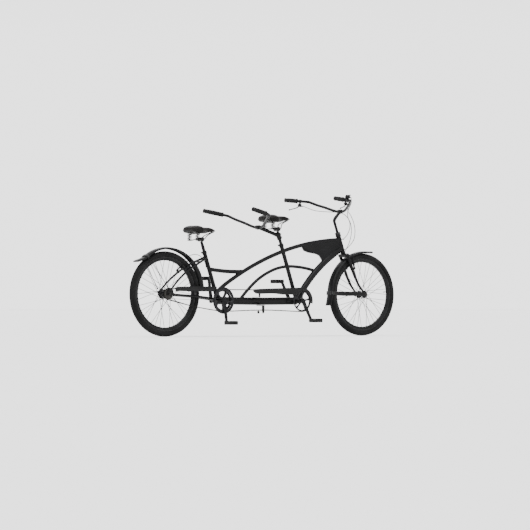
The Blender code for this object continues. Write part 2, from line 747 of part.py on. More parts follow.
def right_crank(end, bracket, degrees):
    """The chain-side crank with its ring, its five windows and, at the rear, a second ring and a disc."""
    arm, tip = crank_arm(end + "_crank_right", bracket, degrees, -1)
    s, z = bracket
    start = place(s, -(BB_HALF_WIDTH + 0.0025), z)
    pieces = [rod("boss", start, place(s, -CRANK_Y, z), 0.0165, 16)]
    pieces.append(toothed("ring", bracket, RING_TEETH, PITCH_RADIUS, TIMING_Y))
    if end == "rear":
        pieces.append(toothed("ring", bracket, RING_TEETH, PITCH_RADIUS, DRIVE_Y))
        faces = [place(s, GUARD_DISC_Y + side * GUARD_DISC_HALF, z) for side in (-1, 1)]
        pieces.append(rod("disc", *faces, GUARD_DISC_RADIUS, 28))
    windows = []
    for k in range(RING_WINDOWS):
        angle = math.radians(degrees - 90 + 360 * (k + 0.5) / RING_WINDOWS)
        spot = (s + RING_WINDOW_AT * math.cos(angle), z + RING_WINDOW_AT * math.sin(angle))
        ends = [place(spot[0], y, spot[1]) for y in (-0.0772, -0.045)]
        windows.append(rod("window", *ends, RING_WINDOW_RADIUS, 6))
    union(arm, *pieces)
    cut(arm, *windows)
    return arm, tip


def left_crank(end, bracket, degrees):
    """The far crank, with the spindle that runs through the bottom bracket."""
    arm, tip = crank_arm(end + "_crank_left", bracket, degrees + 180, 1)
    s, z = bracket
    spindle = rod("spindle", place(s, -(BB_HALF_WIDTH + 0.002), z), place(s, CRANK_Y, z), SPINDLE_RADIUS, 12)
    boss = rod("boss", place(s, BB_HALF_WIDTH + 0.0025, z), place(s, CRANK_Y, z), 0.0145, 16)
    union(arm, spindle, boss)
    return arm, tip


def pedal(name, tip, sign):
    """A platform pedal: a barrel, two end plates and two ribbed tread bars."""
    half_s, half_y, half_z = PEDAL_HALF
    s, _, z = station(tip)
    y0, y1 = sorted(sign * (PEDAL_Y + side * half_y) for side in (-1, 1))
    body = rod(name, place(s, y0, z), place(s, y1, z), 0.0105, 8, finish="grip")
    pieces = []
    for side in (-1, 1):
        section = [(0.016, half_z), (half_s - 0.003, half_z), (half_s, 0.0)]
        section += [(half_s - 0.003, -half_z), (0.016, -half_z)]
        outline = [(s + side * a, z + b) for a, b in section]
        pieces.append(prism("tread", outline, y0 + 0.002, y1 - 0.002))
    for y in (y0, y1 - 0.004):
        pieces.append(block("plate", (s - 0.030, y, z - 0.009), (s + 0.030, y + 0.004, z + 0.009)))
    union(body, *pieces)
    return cut(body, rod("bore", place(s, y0 - 0.01, z), place(s, y1 + 0.01, z), AXLE_RADIUS + 0.0012, 10))


def round_bracket(bracket, radius, degrees):
    """(s, z) points on a circle about a crank axis."""
    turns = [math.radians(a) for a in degrees]
    return [(bracket[0] + radius * math.cos(a), bracket[1] + radius * math.sin(a)) for a in turns]


def guards():
    """The front chain guard, hooked over the chain ring, and the flat rear one, each with its foot."""
    hook = np.linspace(92, -12, 10)
    outer = round_bracket(FRONT_BB, 0.106, hook)
    inner = round_bracket(FRONT_BB, 0.079, [*reversed(hook), 108, 125, 142])
    top = [(0.805, 0.368), (0.850, 0.371), (1.000, 0.376), (1.200, 0.3815)]
    under = [(1.100, 0.3265), (1.000, 0.335), (0.850, 0.333), (0.807, 0.350)]
    front = prism("front_chain_guard", top + outer + inner + under, -0.0761, -0.0746, "satin")
    foot = block("foot", (0.861, -0.0755, 0.3064), (0.879, 0.010, 0.3090))
    riser = block("riser", (0.861, -0.0750, 0.3064), (0.879, -0.0730, 0.3450))
    union(front, foot, riser)
    top = [(0.060, 0.362), (0.072, 0.386), (0.200, 0.389), (0.460, 0.387)]
    under = [(0.460, 0.350), (0.262, 0.350), (0.262, 0.3230), (0.240, 0.3230), (0.240, 0.350)]
    under += [(0.066, 0.350)]
    rear = prism("rear_chain_guard", top + under, -0.0617, -0.0602, "satin")
    union(rear, block("foot", (0.240, -0.0610, 0.3230), (0.262, -0.0440, 0.3255)))
    return front, rear


def tensioner():
    """The bracket that hangs the idler below the boom, and the idler itself."""
    y_plate = TIMING_Y + 0.0060
    arm = block("tensioner_bracket", (0.906, y_plate, 0.2385), (0.928, 0.012, 0.2440), "satin")
    outline = [(0.904, 0.2440), (0.904, 0.205), (0.909, 0.182)]
    outline += [(0.925, 0.182), (0.930, 0.205), (0.930, 0.2440)]
    plate = prism("plate", outline, y_plate - 0.0005, y_plate + 0.0025)
    pin = rod("pin", place(IDLER_S, y_plate, IDLER_Z), place(IDLER_S, TIMING_Y - 0.006, IDLER_Z), 0.0040, 12)
    union(arm, plate, pin)
    hub = [(0.0052, -0.0035), (0.0085, -0.0035), (0.0085, -0.0025), (IDLER_RADIUS, -0.0025)]
    idler = turned("idler_pulley", mirrored(hub), place(IDLER_S, TIMING_Y, IDLER_Z), sides=16, finish="grip")
    return arm, idler


# ---------------------------------------------------------------- saddles
SADDLE_STATIONS = (  # along from the back, top, underside, half width
    (0.000, 0.026, 0.008, 0.055),
    (0.012, 0.036, -0.006, 0.088),
    (0.035, 0.045, -0.014, 0.106),
    (0.070, 0.042, -0.017, 0.108),
    (0.105, 0.034, -0.018, 0.086),
    (0.140, 0.031, -0.016, 0.056),
    (0.180, 0.0305, -0.006, 0.037),
    (0.225, 0.027, 0.001, 0.030),
    (0.247, 0.020, 0.002, 0.024),
    (0.258, 0.010, 0.003, 0.012),
)
SADDLE_SECTION = ((1.0, 0.0), (0.98, 0.38), (0.80, 0.80), (0.45, 0.98), (0.0, 1.0))
SPRING_S = 0.055
SPRING_Y = 0.052
SPRING_RADIUS = 0.0185
RAIL_RADIUS = 0.0036


def saddle_group(prefix, start_s, base_z, tilt_deg, post_top):
    """A wide sprung saddle and, as a second piece, its rails, coil springs and clamp."""
    tilt = math.radians(tilt_deg)

    def spot(along, y, height):
        s = start_s + along * math.cos(tilt) + height * math.sin(tilt)
        return (s, y, base_z - along * math.sin(tilt) + height * math.cos(tilt))

    rings = []
    for along, top, under, half in SADDLE_STATIONS:
        edge = under + 0.30 * (top - under)
        right = [(half * a, edge + (top - edge) * b) for a, b in SADDLE_SECTION]
        right = [(half * 0.86, under)] + right
        ring = right + [(-y, h) for y, h in reversed(right[:-1])]
        rings.append([place(*spot(along, y, h)) for y, h in ring])
    seat = skin(prefix + "_saddle", rings, finish="leather")
    clamp = Vector(post_top) + SEAT_AXIS * 0.0182
    ends = [place(clamp.x, y, clamp.z) for y in (-0.030, 0.030)]
    pieces = [rod(prefix + "_saddle_rails", *ends, 0.0175, 12, "metal")]
    for sign in (1, -1):
        line = [
            spot(0.236, sign * 0.007, -0.0035),
            spot(0.212, sign * 0.012, -0.0120),
            spot(0.170, sign * 0.020, -0.0330),
            (clamp.x + 0.020, sign * 0.0225, clamp.z + 0.004),
            (clamp.x - 0.020, sign * 0.0250, clamp.z + 0.002),
            spot(SPRING_S + 0.010, sign * 0.038, -0.0700),
            spot(SPRING_S, sign * SPRING_Y, -0.0720),
        ]
        pieces.append(tube("rail", line, RAIL_RADIUS, 6))
        ends = [place(*spot(SPRING_S, sign * SPRING_Y, height)) for height in (-0.074, -0.0185)]
        pieces.append(rod("spring", *ends, SPRING_RADIUS, 10))
    plate = [spot(0.222, 0, -0.004), spot(0.244, 0, -0.0025)]
    pieces.append(tube("nose_plate", plate, 0.0040, 8))
    ends = [place(*spot(SPRING_S + skew, y, -0.0215)) for skew, y in ((-0.006, -0.055), (0.006, 0.055))]
    pieces.append(rod("bridge", *ends, 0.0028, 8))
    ends = [place(*spot(0.240, y, -0.0035)) for y in (-0.012, 0.012)]
    pieces.append(rod("nose_bar", *ends, 0.0034, 8))
    return seat, union(pieces[0], *pieces[1:])


def seat_post(name, bracket, low, high):
    """A post on the seat tube's line between two heights."""
    ends = [seat_station(bracket, low), seat_station(bracket, high)]
    return tube(name, ends, SEAT_POST_RADIUS, 12, finish="metal")


# ---------------------------------------------------------------- handlebars
def bar_spot(clamp, tilt, local, sign=1):
    """A handlebar point: forward, sideways and up from the clamp, turned back by the tilt."""
    x, y, z = local
    turn = math.radians(tilt)
    ahead = x * math.cos(turn) + z * math.sin(turn)
    rise = z * math.cos(turn) - x * math.sin(turn)
    return (clamp[0] + ahead, sign * y, clamp[1] + rise)


def grip_line(clamp, tilt, sign):
    """The start of the straight end of the bar as a station, its direction and its length."""
    start, end = (Vector(bar_spot(clamp, tilt, p, sign)) for p in GRIP_LINE)
    return start, (end - start).normalized(), (end - start).length


def handlebar(name, clamp, tilt):
    """A swept-back cruiser bar: a curved middle between two straight ends."""
    half = [*smooth(BAR_PATH, 2)[1:], *GRIP_LINE]
    left = [bar_spot(clamp, tilt, p) for p in reversed(half)]
    right = [(s, -y, z) for s, y, z in reversed(left)]
    line = left + [(clamp[0], 0, clamp[1])] + right
    return tube(name, line, BAR_RADIUS, 8, side=(0, 0, 1), finish="metal")


def grip(name, clamp, tilt, sign, begin):
    """A rubber grip with a flange at its inner end and a closed outer end."""
    start, along, length = grip_line(clamp, tilt, sign)
    bore, flange = BAR_RADIUS + 0.0010, GRIP_RADIUS + 0.0035
    profile = [(bore, begin), (flange, begin), (flange, begin + 0.005), (GRIP_RADIUS, begin + 0.008)]
    profile += [(GRIP_RADIUS + 0.0012, (begin + length) / 2), (GRIP_RADIUS, length - 0.004)]
    profile += [(GRIP_RADIUS + 0.0015, length + 0.002), (GRIP_RADIUS - 0.003, length + 0.0055)]
    profile += [(0.004, length + 0.0062), (0.004, length + 0.0012), (bore, length + 0.0010)]
    return turned(name, profile, place(*start), along, 10, finish="grip")


def clamp_barrel(name, clamp, radius, half):
    """A cylinder across the bicycle on a handlebar's middle."""
    return rod(name, place(clamp[0], -half, clamp[1]), place(clamp[0], half, clamp[1]), radius, 16)


def lever_frame(sign):
    """The lever's pivot, the grip's direction, the way down from the bar and the pivot's axis."""
    start, along, _ = grip_line(FRONT_CLAMP, 0.0, sign)
    drop = Vector((0, sign * LEVER_DROP[0], LEVER_DROP[1]))
    drop = (drop - along * drop.dot(along)).normalized()
    ring = place(*start) + along * PERCH_ALONG
    pivot_point = ring + drop * LEVER_PIVOT
    return {"ring": ring, "along": along, "drop": drop, "axis": along.cross(drop), "pivot": pivot_point}


def slab(name, frame, path, half_depth):
    """A bar through (along, drop, half height) stations in a lever's own plane."""
    rings = []
    for a, d, half in path:
        here = frame["pivot"] + frame["along"] * a + frame["drop"] * (d - LEVER_PIVOT)
        up, side = frame["drop"] * half, frame["axis"] * half_depth
        rings.append([here - up - side, here + up - side, here + up + side, here - up + side])
    return skin(name, rings, finish="satin")


def brake_controls(side, sign):
    """A brake lever's perch, clamped on the bar, and the blade that turns in its slot."""
    frame = lever_frame(sign)
    ring, along, drop = frame["ring"], frame["along"], frame["drop"]
    ends = [ring - along * 0.009, ring + along * 0.009]
    perch = rod("brake_perch_" + side, *ends, CLAMP_RING_RADIUS, 16, "satin")
    path = [(-0.014, 0.020, 0.006), (-0.012, 0.032, 0.010), (0.004, 0.034, 0.011), (0.010, 0.032, 0.009)]
    body = slab("body", frame, path, 0.0085)
    neck = rod("neck", ring + drop * 0.010, ring + drop * 0.030, 0.0080, 10)
    barrel = rod("barrel", frame["pivot"] - along * 0.026, frame["pivot"] - along * 0.008, 0.0048, 10)
    union(perch, neck, body, barrel)
    slot = slab("slot", frame, [(-0.008, 0.044, 0.0100), (0.016, 0.044, 0.0100)], 0.0048)
    bore = rod("bore", ring - along * 0.03, ring + along * 0.03, BAR_RADIUS + 0.0007, 16)
    cut(perch, slot, bore)
    path = [(-0.005, 0.0400, 0.0050), (0.006, 0.0420, 0.0055), (0.020, 0.0540, 0.0045)]
    path += [(0.045, 0.0640, 0.0040), (0.070, 0.0720, 0.0040), (0.079, 0.0755, 0.0036)]
    blade = slab("brake_lever_" + side, frame, path, 0.0040)
    tip = frame["pivot"] + along * 0.082 + drop * (0.0765 - LEVER_PIVOT)
    ball = bmesh.new()
    bmesh.ops.create_icosphere(ball, subdivisions=2, radius=0.0062, matrix=Matrix.Translation(tip))
    union(blade, make("ball", ball))
    return perch, blade, frame


def shifter_frame():
    """The shifter's middle on the bar as a station, the grip's direction and the way up from the bar."""
    start, along, _ = grip_line(FRONT_CLAMP, 0.0, -1)
    up = (Vector((0, 0, 1)) - along * along.z).normalized()
    return start + along * SHIFTER_ALONG, along, up


def shifter():
    """The thumb shifter: a clamp with a round pod on the bar, and the paddle that turns on it."""
    middle, along, up = shifter_frame()
    ring = place(*middle)
    body = rod("shifter", ring - along * 0.007, ring + along * 0.007, 0.0165, 16, "satin")
    pod = rod("pod", ring + up * 0.0153, ring + up * POD_TOP, 0.0210, 20)
    level = ring + up * GUIDE_RISE
    guide = rod("guide", level - along * 0.010, level - along * GUIDE_END, 0.0045, 10)
    union(body, pod, guide)
    bore = rod("bore", ring - along * 0.03, ring + along * 0.03, BAR_RADIUS + 0.0009, 16)
    cut(body, bore)
    top = ring + up * (POD_TOP + GAP)
    across = up.cross(along)
    outline = [(0.016, 0.0), (0.011, 0.012), (-0.004, 0.015), (-0.016, 0.004), (-0.015, -0.009)]
    outline += [(-0.006, -0.016), (0.004, -0.034), (0.015, -0.038), (0.019, -0.032), (0.012, -0.014)]
    rings = [[top + along * a - across * b + up * h for a, b in outline] for h in (0.0, 0.0070)]
    paddle = skin("shifter_lever", rings, finish="satin")
    return body, paddle, top


# ---------------------------------------------------------------- rim brakes
def brake_frame(end, sign):
    """A brake arm's pivot, its pivot axis (pointing away from the frame) and the way up along it."""
    brake = BRAKES[end]
    s, y, z = brake["pivot"]
    up = Vector((brake["up"][0], 0, brake["up"][1])).normalized()
    axis = Vector((up.z, 0, -up.x)) if end == "front" else Vector((-up.z, 0, up.x))
    return {"pivot": place(s, sign * y, z), "up": up, "axis": axis, "reach": brake["reach"]}


def brake_arm(end, side, sign):
    """An arm that turns on its stud, with the pad's holder and the pad beside the rim."""
    frame = brake_frame(end, sign)
    pivot_point, up, axis = frame["pivot"], frame["up"], frame["axis"]
    out = Vector((0, sign, 0))
    rings = []
    reach = frame["reach"]
    for t, lean, half_y, half_x in (
        (-0.011, 0.0, 0.0060, 0.0050),
        (0.0, 0.0, 0.0085, 0.0055),
        (0.030, -0.0005, 0.0060, 0.0050),
        (reach * 0.75, 0.0015, 0.0045, 0.0045),
        (reach, 0.0020, 0.0040, 0.0040),
    ):
        here = pivot_point + up * t + out * lean
        corners = ((-1, -1), (1, -1), (1, 1), (-1, 1))
        rings.append([here + out * a * half_y + axis * b * half_x for a, b in corners])
    arm = skin("_".join((end, "brake_arm", side)), rings, finish="metal")
    hub = place(HUBS[end]["s"], 0, AXLE_Z)
    foot = pivot_point + up * 0.030
    radial = Vector((foot.x - hub.x, 0, foot.z - hub.z)).normalized()
    tangent = Vector((-radial.z, 0, radial.x))
    spot = hub + radial * PAD_RADIUS
    holder = rod("holder", foot, (spot.x, sign * 0.027, spot.z), 0.0045, 8)
    rings = []
    for t in (-0.026, -0.010, 0.010, 0.026):
        bend = (t * t) / (2 * PAD_RADIUS)
        middle = spot + tangent * t - radial * bend
        ring = []
        for h, y in ((-0.0050, 0.0190), (0.0050, 0.0190), (0.0062, 0.0290), (-0.0062, 0.0290)):
            point = middle + radial * h
            ring.append(Vector((point.x, sign * y, point.z)))
        rings.append(ring)
    pad = skin("pad", rings)
    union(arm, holder, pad)
    bore = rod("bore", pivot_point - axis * 0.02, pivot_point + axis * 0.02, STUD_RADIUS + 0.0008, 12)
    cut(arm, bore)
    return arm, frame


def brake_link(end):
    """The inner wire across both arms' tips: its start outside the left one, the tip, and its far end."""
    tips = []
    for _, sign in SIDES:
        frame = brake_frame(end, sign)
        tips.append(frame["pivot"] + frame["up"] * (frame["reach"] - 0.006) + frame["axis"] * 0.0072)
    left, right = tips
    return left + Vector((0, 0.010, 0)), left, right - Vector((0, 0.006, 0))


# ---------------------------------------------------------------- front end
FRONT_DROPOUT = (
    (1.938, 0.352),
    (1.950, 0.332),
    (1.956, 0.318),
    (1.974, 0.318),
    (1.978, 0.334),
    (1.960, 0.356),
)


def fork():
    """The steerer, crown, two curved blades, dropouts and brake studs, in one piece."""
    crown_top = on_head(0.6515)
    steerer = rod("fork", on_head(0.640), on_head(0.8255), STEERER_RADIUS, 12)
    pieces = []
    outline = [(-0.0540, -0.013), (-0.0560, 0.0), (-0.0460, 0.012)]
    outline += [(0.0460, 0.012), (0.0560, 0.0), (0.0540, -0.013)]
    across = Vector((0, 1, 0))
    ahead = across.cross(HEAD_AXIS)
    rings = []
    for depth, slim in ((-0.0170, 0.92), (-0.012, 1.0), (0.012, 1.0), (0.0170, 0.92)):
        middle = crown_top + ahead * depth
        rings.append([middle + across * a * slim + HEAD_AXIS * (b - 0.0085) for a, b in outline])
    pieces.append(skin("crown", rings))
    race = crown_top + HEAD_AXIS * 0.0035
    pieces.append(rod("race", race - HEAD_AXIS * 0.006, race + HEAD_AXIS * 0.0035, 0.0195, 20))
    line = [
        (1.7790, 0.0470, 0.650, 0.0110, 0.0135),
        (1.7950, 0.0475, 0.612, 0.0110, 0.0140),
        (1.8350, 0.0490, 0.517, 0.0105, 0.0135),
        (1.8620, 0.0505, 0.460, 0.0095, 0.0120),
        (1.8880, 0.0515, 0.413, 0.0085, 0.0100),
        (1.9270, 0.0522, 0.366, 0.0075, 0.0085),
        (1.9540, 0.0525, 0.343, 0.0055, 0.0070),
    ]
    for sign in (1, -1):
        pieces.append(tube("blade", [(s, sign * y, z, a, b) for s, y, z, a, b in line], sides=10))
        pieces.append(dropout("front", sign, FRONT_DROPOUT))
        pieces += brake_stud("front", sign)
    union(steerer, *pieces)
    hollow = rod("bore", on_head(0.700), on_head(0.90), STEERER_BORE, 12)
    return cut(steerer, hollow)


def headset_upper():
    """The threaded upper cup and locknut; the lower cup is part of the frame's head tube."""
    high = on_head(HEAD_TOP)
    cup = [(HEAD_BORE, GAP), (HEAD_RADIUS + 0.0005, GAP), (0.0225, 0.006), (0.0225, 0.016), (0.0200, 0.018)]
    cup += [(0.0200, 0.024), (0.0220, 0.026), (0.0220, 0.036), (HEAD_BORE, 0.036)]
    return turned("headset_upper", cup, high, HEAD_AXIS, 16, "metal")


def front_stem():
    """A gooseneck stem: a straight quill in the steerer, then a curve forward to the bar's clamp."""
    line = [(*station(on_head(z)), QUILL_RADIUS, QUILL_RADIUS) for z in (0.735, 0.80, 0.892)]
    line += [(1.6835, 0, 0.9150, 0.0120, 0.0125), (1.6900, 0, 0.9330, 0.0125, 0.0135)]
    line += [(1.7080, 0, 0.9540, 0.0125, 0.0130)]
    line += [(FRONT_CLAMP[0] - 0.002, 0, FRONT_CLAMP[1] - 0.004, 0.0120, 0.0120)]
    stem = tube("stem", line, sides=12, finish="metal")
    union(stem, clamp_barrel("barrel", FRONT_CLAMP, 0.0165, 0.021))
    return cut(stem, clamp_barrel("bore", FRONT_CLAMP, BAR_RADIUS + 0.0014, 0.05))


def stoker_stem():
    """The rear rider's stem: a collar on the front seat post, and an arm back to the bar's clamp."""
    collar = [seat_station(FRONT_BB, z) for z in (0.763, 0.812)]
    stem = tube("stoker_stem", collar, 0.0190, 12, finish="metal")
    reach = [(1.122, 0, 0.789, 0.0155, 0.0155), (1.000, 0, 0.829, 0.0150, 0.0150)]
    reach += [(0.914, 0, 0.8555, 0.0135, 0.0140)]
    union(stem, tube("reach", reach, sides=12), clamp_barrel("barrel", STOKER_CLAMP, 0.0170, 0.022))
    hole = [seat_station(FRONT_BB, z) for z in (0.70, 0.90)]
    bore = tube("bore", hole, SEAT_BORE, 12)
    return cut(stem, bore, clamp_barrel("bore", STOKER_CLAMP, BAR_RADIUS + 0.0014, 0.05))


def fender_stays():
    """Wire stays at the rear and flat stays at the front, each pair joined by a strap over the fender."""
    turn, radius = 122.0, 0.3495
    strap = fender_strap("rear", turn, radius, 0.011)
    pieces = []
    y = DROPOUT_Y["rear"] + DROPOUT_HALF + 0.0060
    for sign in (1, -1):
        ends = [place(-0.016, sign * (y + side), 0.372) for side in (-0.0030, 0.002)]
        pieces.append(rod("eye", *ends, 0.0065, 10))
        for shift in (-0.008, 0.008):
            top = polar(0.0, radius - 0.0215, turn + math.degrees(shift / radius), sign * 0.0372)
            low = place(-0.016 + shift * 0.45, sign * y, 0.374)
            pieces.append(rod("wire", low, top + (top - low).normalized() * 0.004, 0.0018, 4))
    rear = union(strap, *pieces)
    strap = fender_strap("front", 178.0, 0.3360, 0.015)
    pieces = []
    y_hub = DROPOUT_Y["front"] + DROPOUT_HALF + 0.0120
    for sign in (1, -1):
        rings = []
        for s, y, low, high in (
            (1.9500, y_hub, 0.3270, 0.3430),
            (1.9300, y_hub - 0.001, 0.3190, 0.3480),
            (1.8000, 0.0475, 0.3190, 0.3530),
            (1.6480, 0.0366, 0.3280, 0.3550),
        ):
            inner, outer = sign * y, sign * (y + 0.0022)
            corners = ((inner, low), (outer, low), (outer, high), (inner, high))
            rings.append([place(s, across, z) for across, z in corners])
        pieces.append(skin("blade", rings))
    front = union(strap, *pieces)
    return rear, front


def cable(name, points, wire=None):
    """A cable's housing through its stations, and the bare inner wire at its end if it has one."""
    housing = tube(name, points, CABLE_RADIUS, 6, side=(0, 0, 1), finish="cable")
    if wire:
        union(housing, rod("wire", *wire, 0.0010, 6))
    return housing


# ---------------------------------------------------------------- assembly
main_frame()
rear_stays()
frame_tank()
headset_upper()

front_wheel = wheel("front")
rear_wheel = wheel("rear")
front_axle = axle("front")
axle("rear")
fender("rear")
front_fender = fender("front")
_, front_fender_stay = fender_stays()

front_right, front_tip_right = right_crank("front", FRONT_BB, FRONT_CRANK_DEG)
front_left, front_tip_left = left_crank("front", FRONT_BB, FRONT_CRANK_DEG)
rear_right, rear_tip_right = right_crank("rear", REAR_BB, REAR_CRANK_DEG)
rear_left, rear_tip_left = left_crank("rear", REAR_BB, REAR_CRANK_DEG)
PEDALS = {
    "front_pedal_right": (front_tip_right, -1),
    "front_pedal_left": (front_tip_left, 1),
    "rear_pedal_right": (rear_tip_right, -1),
    "rear_pedal_left": (rear_tip_left, 1),
}
pedals = {name: pedal(name, tip, sign) for name, (tip, sign) in PEDALS.items()}

timing_path = belt(REAR_BB, PITCH_RADIUS, FRONT_BB, PITCH_RADIUS, [(IDLER_S, CHAIN_AT_IDLER_Z)])
chain("timing_chain", timing_path, TIMING_Y)
drive_path = belt((0.0, AXLE_Z), COG_RADIUS, REAR_BB, PITCH_RADIUS, [(0.250, 0.2330)])
chain("drive_chain", drive_path, DRIVE_Y)
cog = toothed("rear_sprocket", (0.0, AXLE_Z), COG_TEETH, COG_RADIUS, DRIVE_Y, "metal")
union(cog, rod("driver", place(0, -0.0375, AXLE_Z), place(0, -0.0580, AXLE_Z), 0.0180, 16))
cut(cog, rod("bore", place(0, -0.07, AXLE_Z), place(0, -0.03, AXLE_Z), AXLE_RADIUS + 0.0012, 12))
guards()
_, idler = tensioner()

for end, bracket, low, high, start_s, base_z, tilt in (
    ("rear", REAR_BB, 0.570, 0.738, 0.226, 0.819, 1.5),
    ("front", FRONT_BB, 0.634, 0.827, 0.965, 0.914, 0.0),
):
    seat_post(end + "_seatpost", bracket, low, high)
    saddle_group(end, start_s, base_z, tilt, seat_station(bracket, high))

fork_piece = fork()
stem = front_stem()
bar = handlebar("handlebar", FRONT_CLAMP, 0.0)
stoker_stem()
handlebar("stoker_handlebar", STOKER_CLAMP, STOKER_TILT_DEG)
grips = [grip("grip_" + side, FRONT_CLAMP, 0.0, sign, FRONT_GRIP_ALONG) for side, sign in SIDES]
for side, sign in SIDES:
    grip("stoker_grip_" + side, STOKER_CLAMP, STOKER_TILT_DEG, sign, STOKER_GRIP_ALONG)
controls = [brake_controls(side, sign) for side, sign in SIDES]
shift_body, shift_lever, shift_pivot = shifter()

front_arms = [brake_arm("front", side, sign) for side, sign in SIDES]
rear_arms = [brake_arm("rear", side, sign) for side, sign in SIDES]

lever_end = controls[0][2]
left_start = lever_end["pivot"] - lever_end["along"] * 0.0266
left_out = left_start - lever_end["along"] * 0.012
left_exit = [station(left_start), station(left_out)]
right_exit = [(s, -y, z) for s, y, z in left_exit]
middle, along, up = shifter_frame()
pod_exit = middle - along * (GUIDE_END + 0.0006) + up * GUIDE_RISE
pod_out = pod_exit - along * 0.012

wire_start, wire_tip, wire_end = brake_link("front")
front_cable = cable(
    "front_brake_cable",
    [*left_exit, (1.650, 0.215, 1.004), (1.700, 0.150, 0.994), (1.755, 0.090, 0.9885)]
    + [(1.800, 0.058, 0.982), (1.840, 0.048, 0.962), (1.880, 0.046, 0.917), (1.898, 0.046, 0.860)]
    + [(1.893, 0.046, 0.800), (1.878, 0.050, 0.745), (1.860, 0.060, 0.700), (1.845, 0.067, 0.668)]
    + [(1.837, 0.0660, 0.6500), station(wire_start), station(wire_tip)],
    (wire_start, wire_end),
)
cable(
    "rear_brake_cable_front",
    [*right_exit, (1.650, -0.215, 1.004), (1.700, -0.150, 0.994), (1.755, -0.098, 0.980)]
    + [(1.800, -0.068, 0.957), (1.838, -0.055, 0.905), (1.8585, -0.047, 0.845)]
    + [(1.8570, -0.040, 0.780), (1.833, -0.034, 0.738), (1.797, -0.0290, 0.703)]
    + [(1.764, -0.0262, 0.686)],
)
cable(
    "shift_cable_front",
    [tuple(pod_exit), tuple(pod_out), (1.700, -0.196, 1.060), (1.742, -0.118, 1.020)]
    + [(1.765, -0.068, 0.984), (1.786, -0.047, 0.945), (1.810, -0.040, 0.905)]
    + [(1.8165, -0.035, 0.866), (1.807, -0.031, 0.832), (1.788, -0.0280, 0.800)]
    + [(1.757, -0.0245, 0.771)],
)
wire_start, wire_tip, wire_end = brake_link("rear")
cable(
    "rear_brake_cable",
    [(0.4020, 0.0, 0.535), (0.3930, 0.0, 0.570), (0.3800, 0.0, 0.592), (0.3700, 0.003, 0.6065)]
    + [(0.350, 0.012, 0.6270), (0.320, 0.030, 0.6380), (0.285, 0.052, 0.6300), (0.258, 0.062, 0.6120)]
    + [(0.2400, 0.0655, 0.5960), station(wire_start), station(wire_tip)],
    (wire_start, wire_end),
)

# ---------------------------------------------------------------- joint axes
pivot("front_wheel_axis", place(WHEELBASE, 0, AXLE_Z), *front_wheel)
pivot("rear_wheel_axis", place(0, 0, AXLE_Z), *rear_wheel)
pivot("sprocket_axis", place(0, 0, AXLE_Z), cog)
pivot("front_crank_axis", place(FRONT_BB[0], 0, FRONT_BB[1]), front_right, front_left)
pivot("rear_crank_axis", place(REAR_BB[0], 0, REAR_BB[1]), rear_right, rear_left)
for name, (tip, _) in PEDALS.items():
    pivot(name + "_axis", tip, pedals[name])
pivot("idler_axis", place(IDLER_S, TIMING_Y, IDLER_Z), idler)
steered = [fork_piece, stem, bar, front_axle, front_fender, front_fender_stay, front_cable, shift_body]
pivot("steering_axis", on_head(HEAD_FOOT[1]), *steered, *grips, *(c[0] for c in controls))
for (_, blade, lever), (side, _) in zip(controls, SIDES):
    pivot("lever_axis_" + side, lever["pivot"], blade)
pivot("shifter_axis", shift_pivot, shift_lever)
for arms, end in ((front_arms, "front"), (rear_arms, "rear")):
    for (arm, where), (side, _) in zip(arms, SIDES):
        pivot("_".join((end, "brake_axis", side)), where["pivot"], arm)
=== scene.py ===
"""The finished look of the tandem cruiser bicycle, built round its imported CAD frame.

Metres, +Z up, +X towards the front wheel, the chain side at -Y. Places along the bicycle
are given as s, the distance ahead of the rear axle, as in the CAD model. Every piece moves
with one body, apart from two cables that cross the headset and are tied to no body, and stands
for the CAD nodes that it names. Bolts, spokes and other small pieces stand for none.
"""

import json
import math

import bmesh
import bpy
import numpy as np
from mathutils import Matrix, Vector


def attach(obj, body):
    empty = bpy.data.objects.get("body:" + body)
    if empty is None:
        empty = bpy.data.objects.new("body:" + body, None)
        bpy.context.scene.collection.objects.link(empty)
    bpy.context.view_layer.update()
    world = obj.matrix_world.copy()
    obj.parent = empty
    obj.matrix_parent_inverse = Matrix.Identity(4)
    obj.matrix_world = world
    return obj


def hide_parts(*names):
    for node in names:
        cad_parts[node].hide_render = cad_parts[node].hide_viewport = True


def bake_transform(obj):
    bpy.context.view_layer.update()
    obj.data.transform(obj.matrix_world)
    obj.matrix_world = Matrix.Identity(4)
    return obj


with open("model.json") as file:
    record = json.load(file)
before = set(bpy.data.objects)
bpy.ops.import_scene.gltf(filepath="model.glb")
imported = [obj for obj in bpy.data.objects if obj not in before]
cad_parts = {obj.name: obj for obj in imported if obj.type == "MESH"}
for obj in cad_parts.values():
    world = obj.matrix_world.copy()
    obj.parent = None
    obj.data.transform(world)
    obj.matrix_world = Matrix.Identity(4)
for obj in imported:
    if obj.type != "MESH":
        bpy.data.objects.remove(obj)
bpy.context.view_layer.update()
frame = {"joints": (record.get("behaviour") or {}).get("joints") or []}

# ---------------------------------------------------------------- places from the frame
JOINT = {joint["name"]: joint for joint in frame["joints"]}


def at(name):
    return np.array(JOINT[name]["pos_m"], float)


def axis_of(name):
    way = np.array(JOINT[name]["axis"], float)
    return way / np.linalg.norm(way)


def unit(way):
    way = np.array(way, float)
    return way / np.linalg.norm(way)


UP = np.array((0.0, 0.0, 1.0))
LEFT = np.array((0.0, 1.0, 0.0))
HUB = {"front": at("front_wheel_spin"), "rear": at("rear_wheel_spin")}
BRACKET = {"front": at("front_crank_spin"), "rear": at("rear_crank_spin")}
HEAD_AXIS = axis_of("steering")
HEAD_FOOT = at("steering")
SEAT_AXIS = unit((-0.348, 0, 1))
SIDES = (("left", 1), ("right", -1))
ENDS = ("front", "rear")


def place(s, y, z):
    """The point s ahead of the rear axle, y to the left and z above the ground."""
    return np.array((HUB["rear"][0] + s, y, z))


def places(stations):
    return np.array([place(*row[:3]) for row in stations])


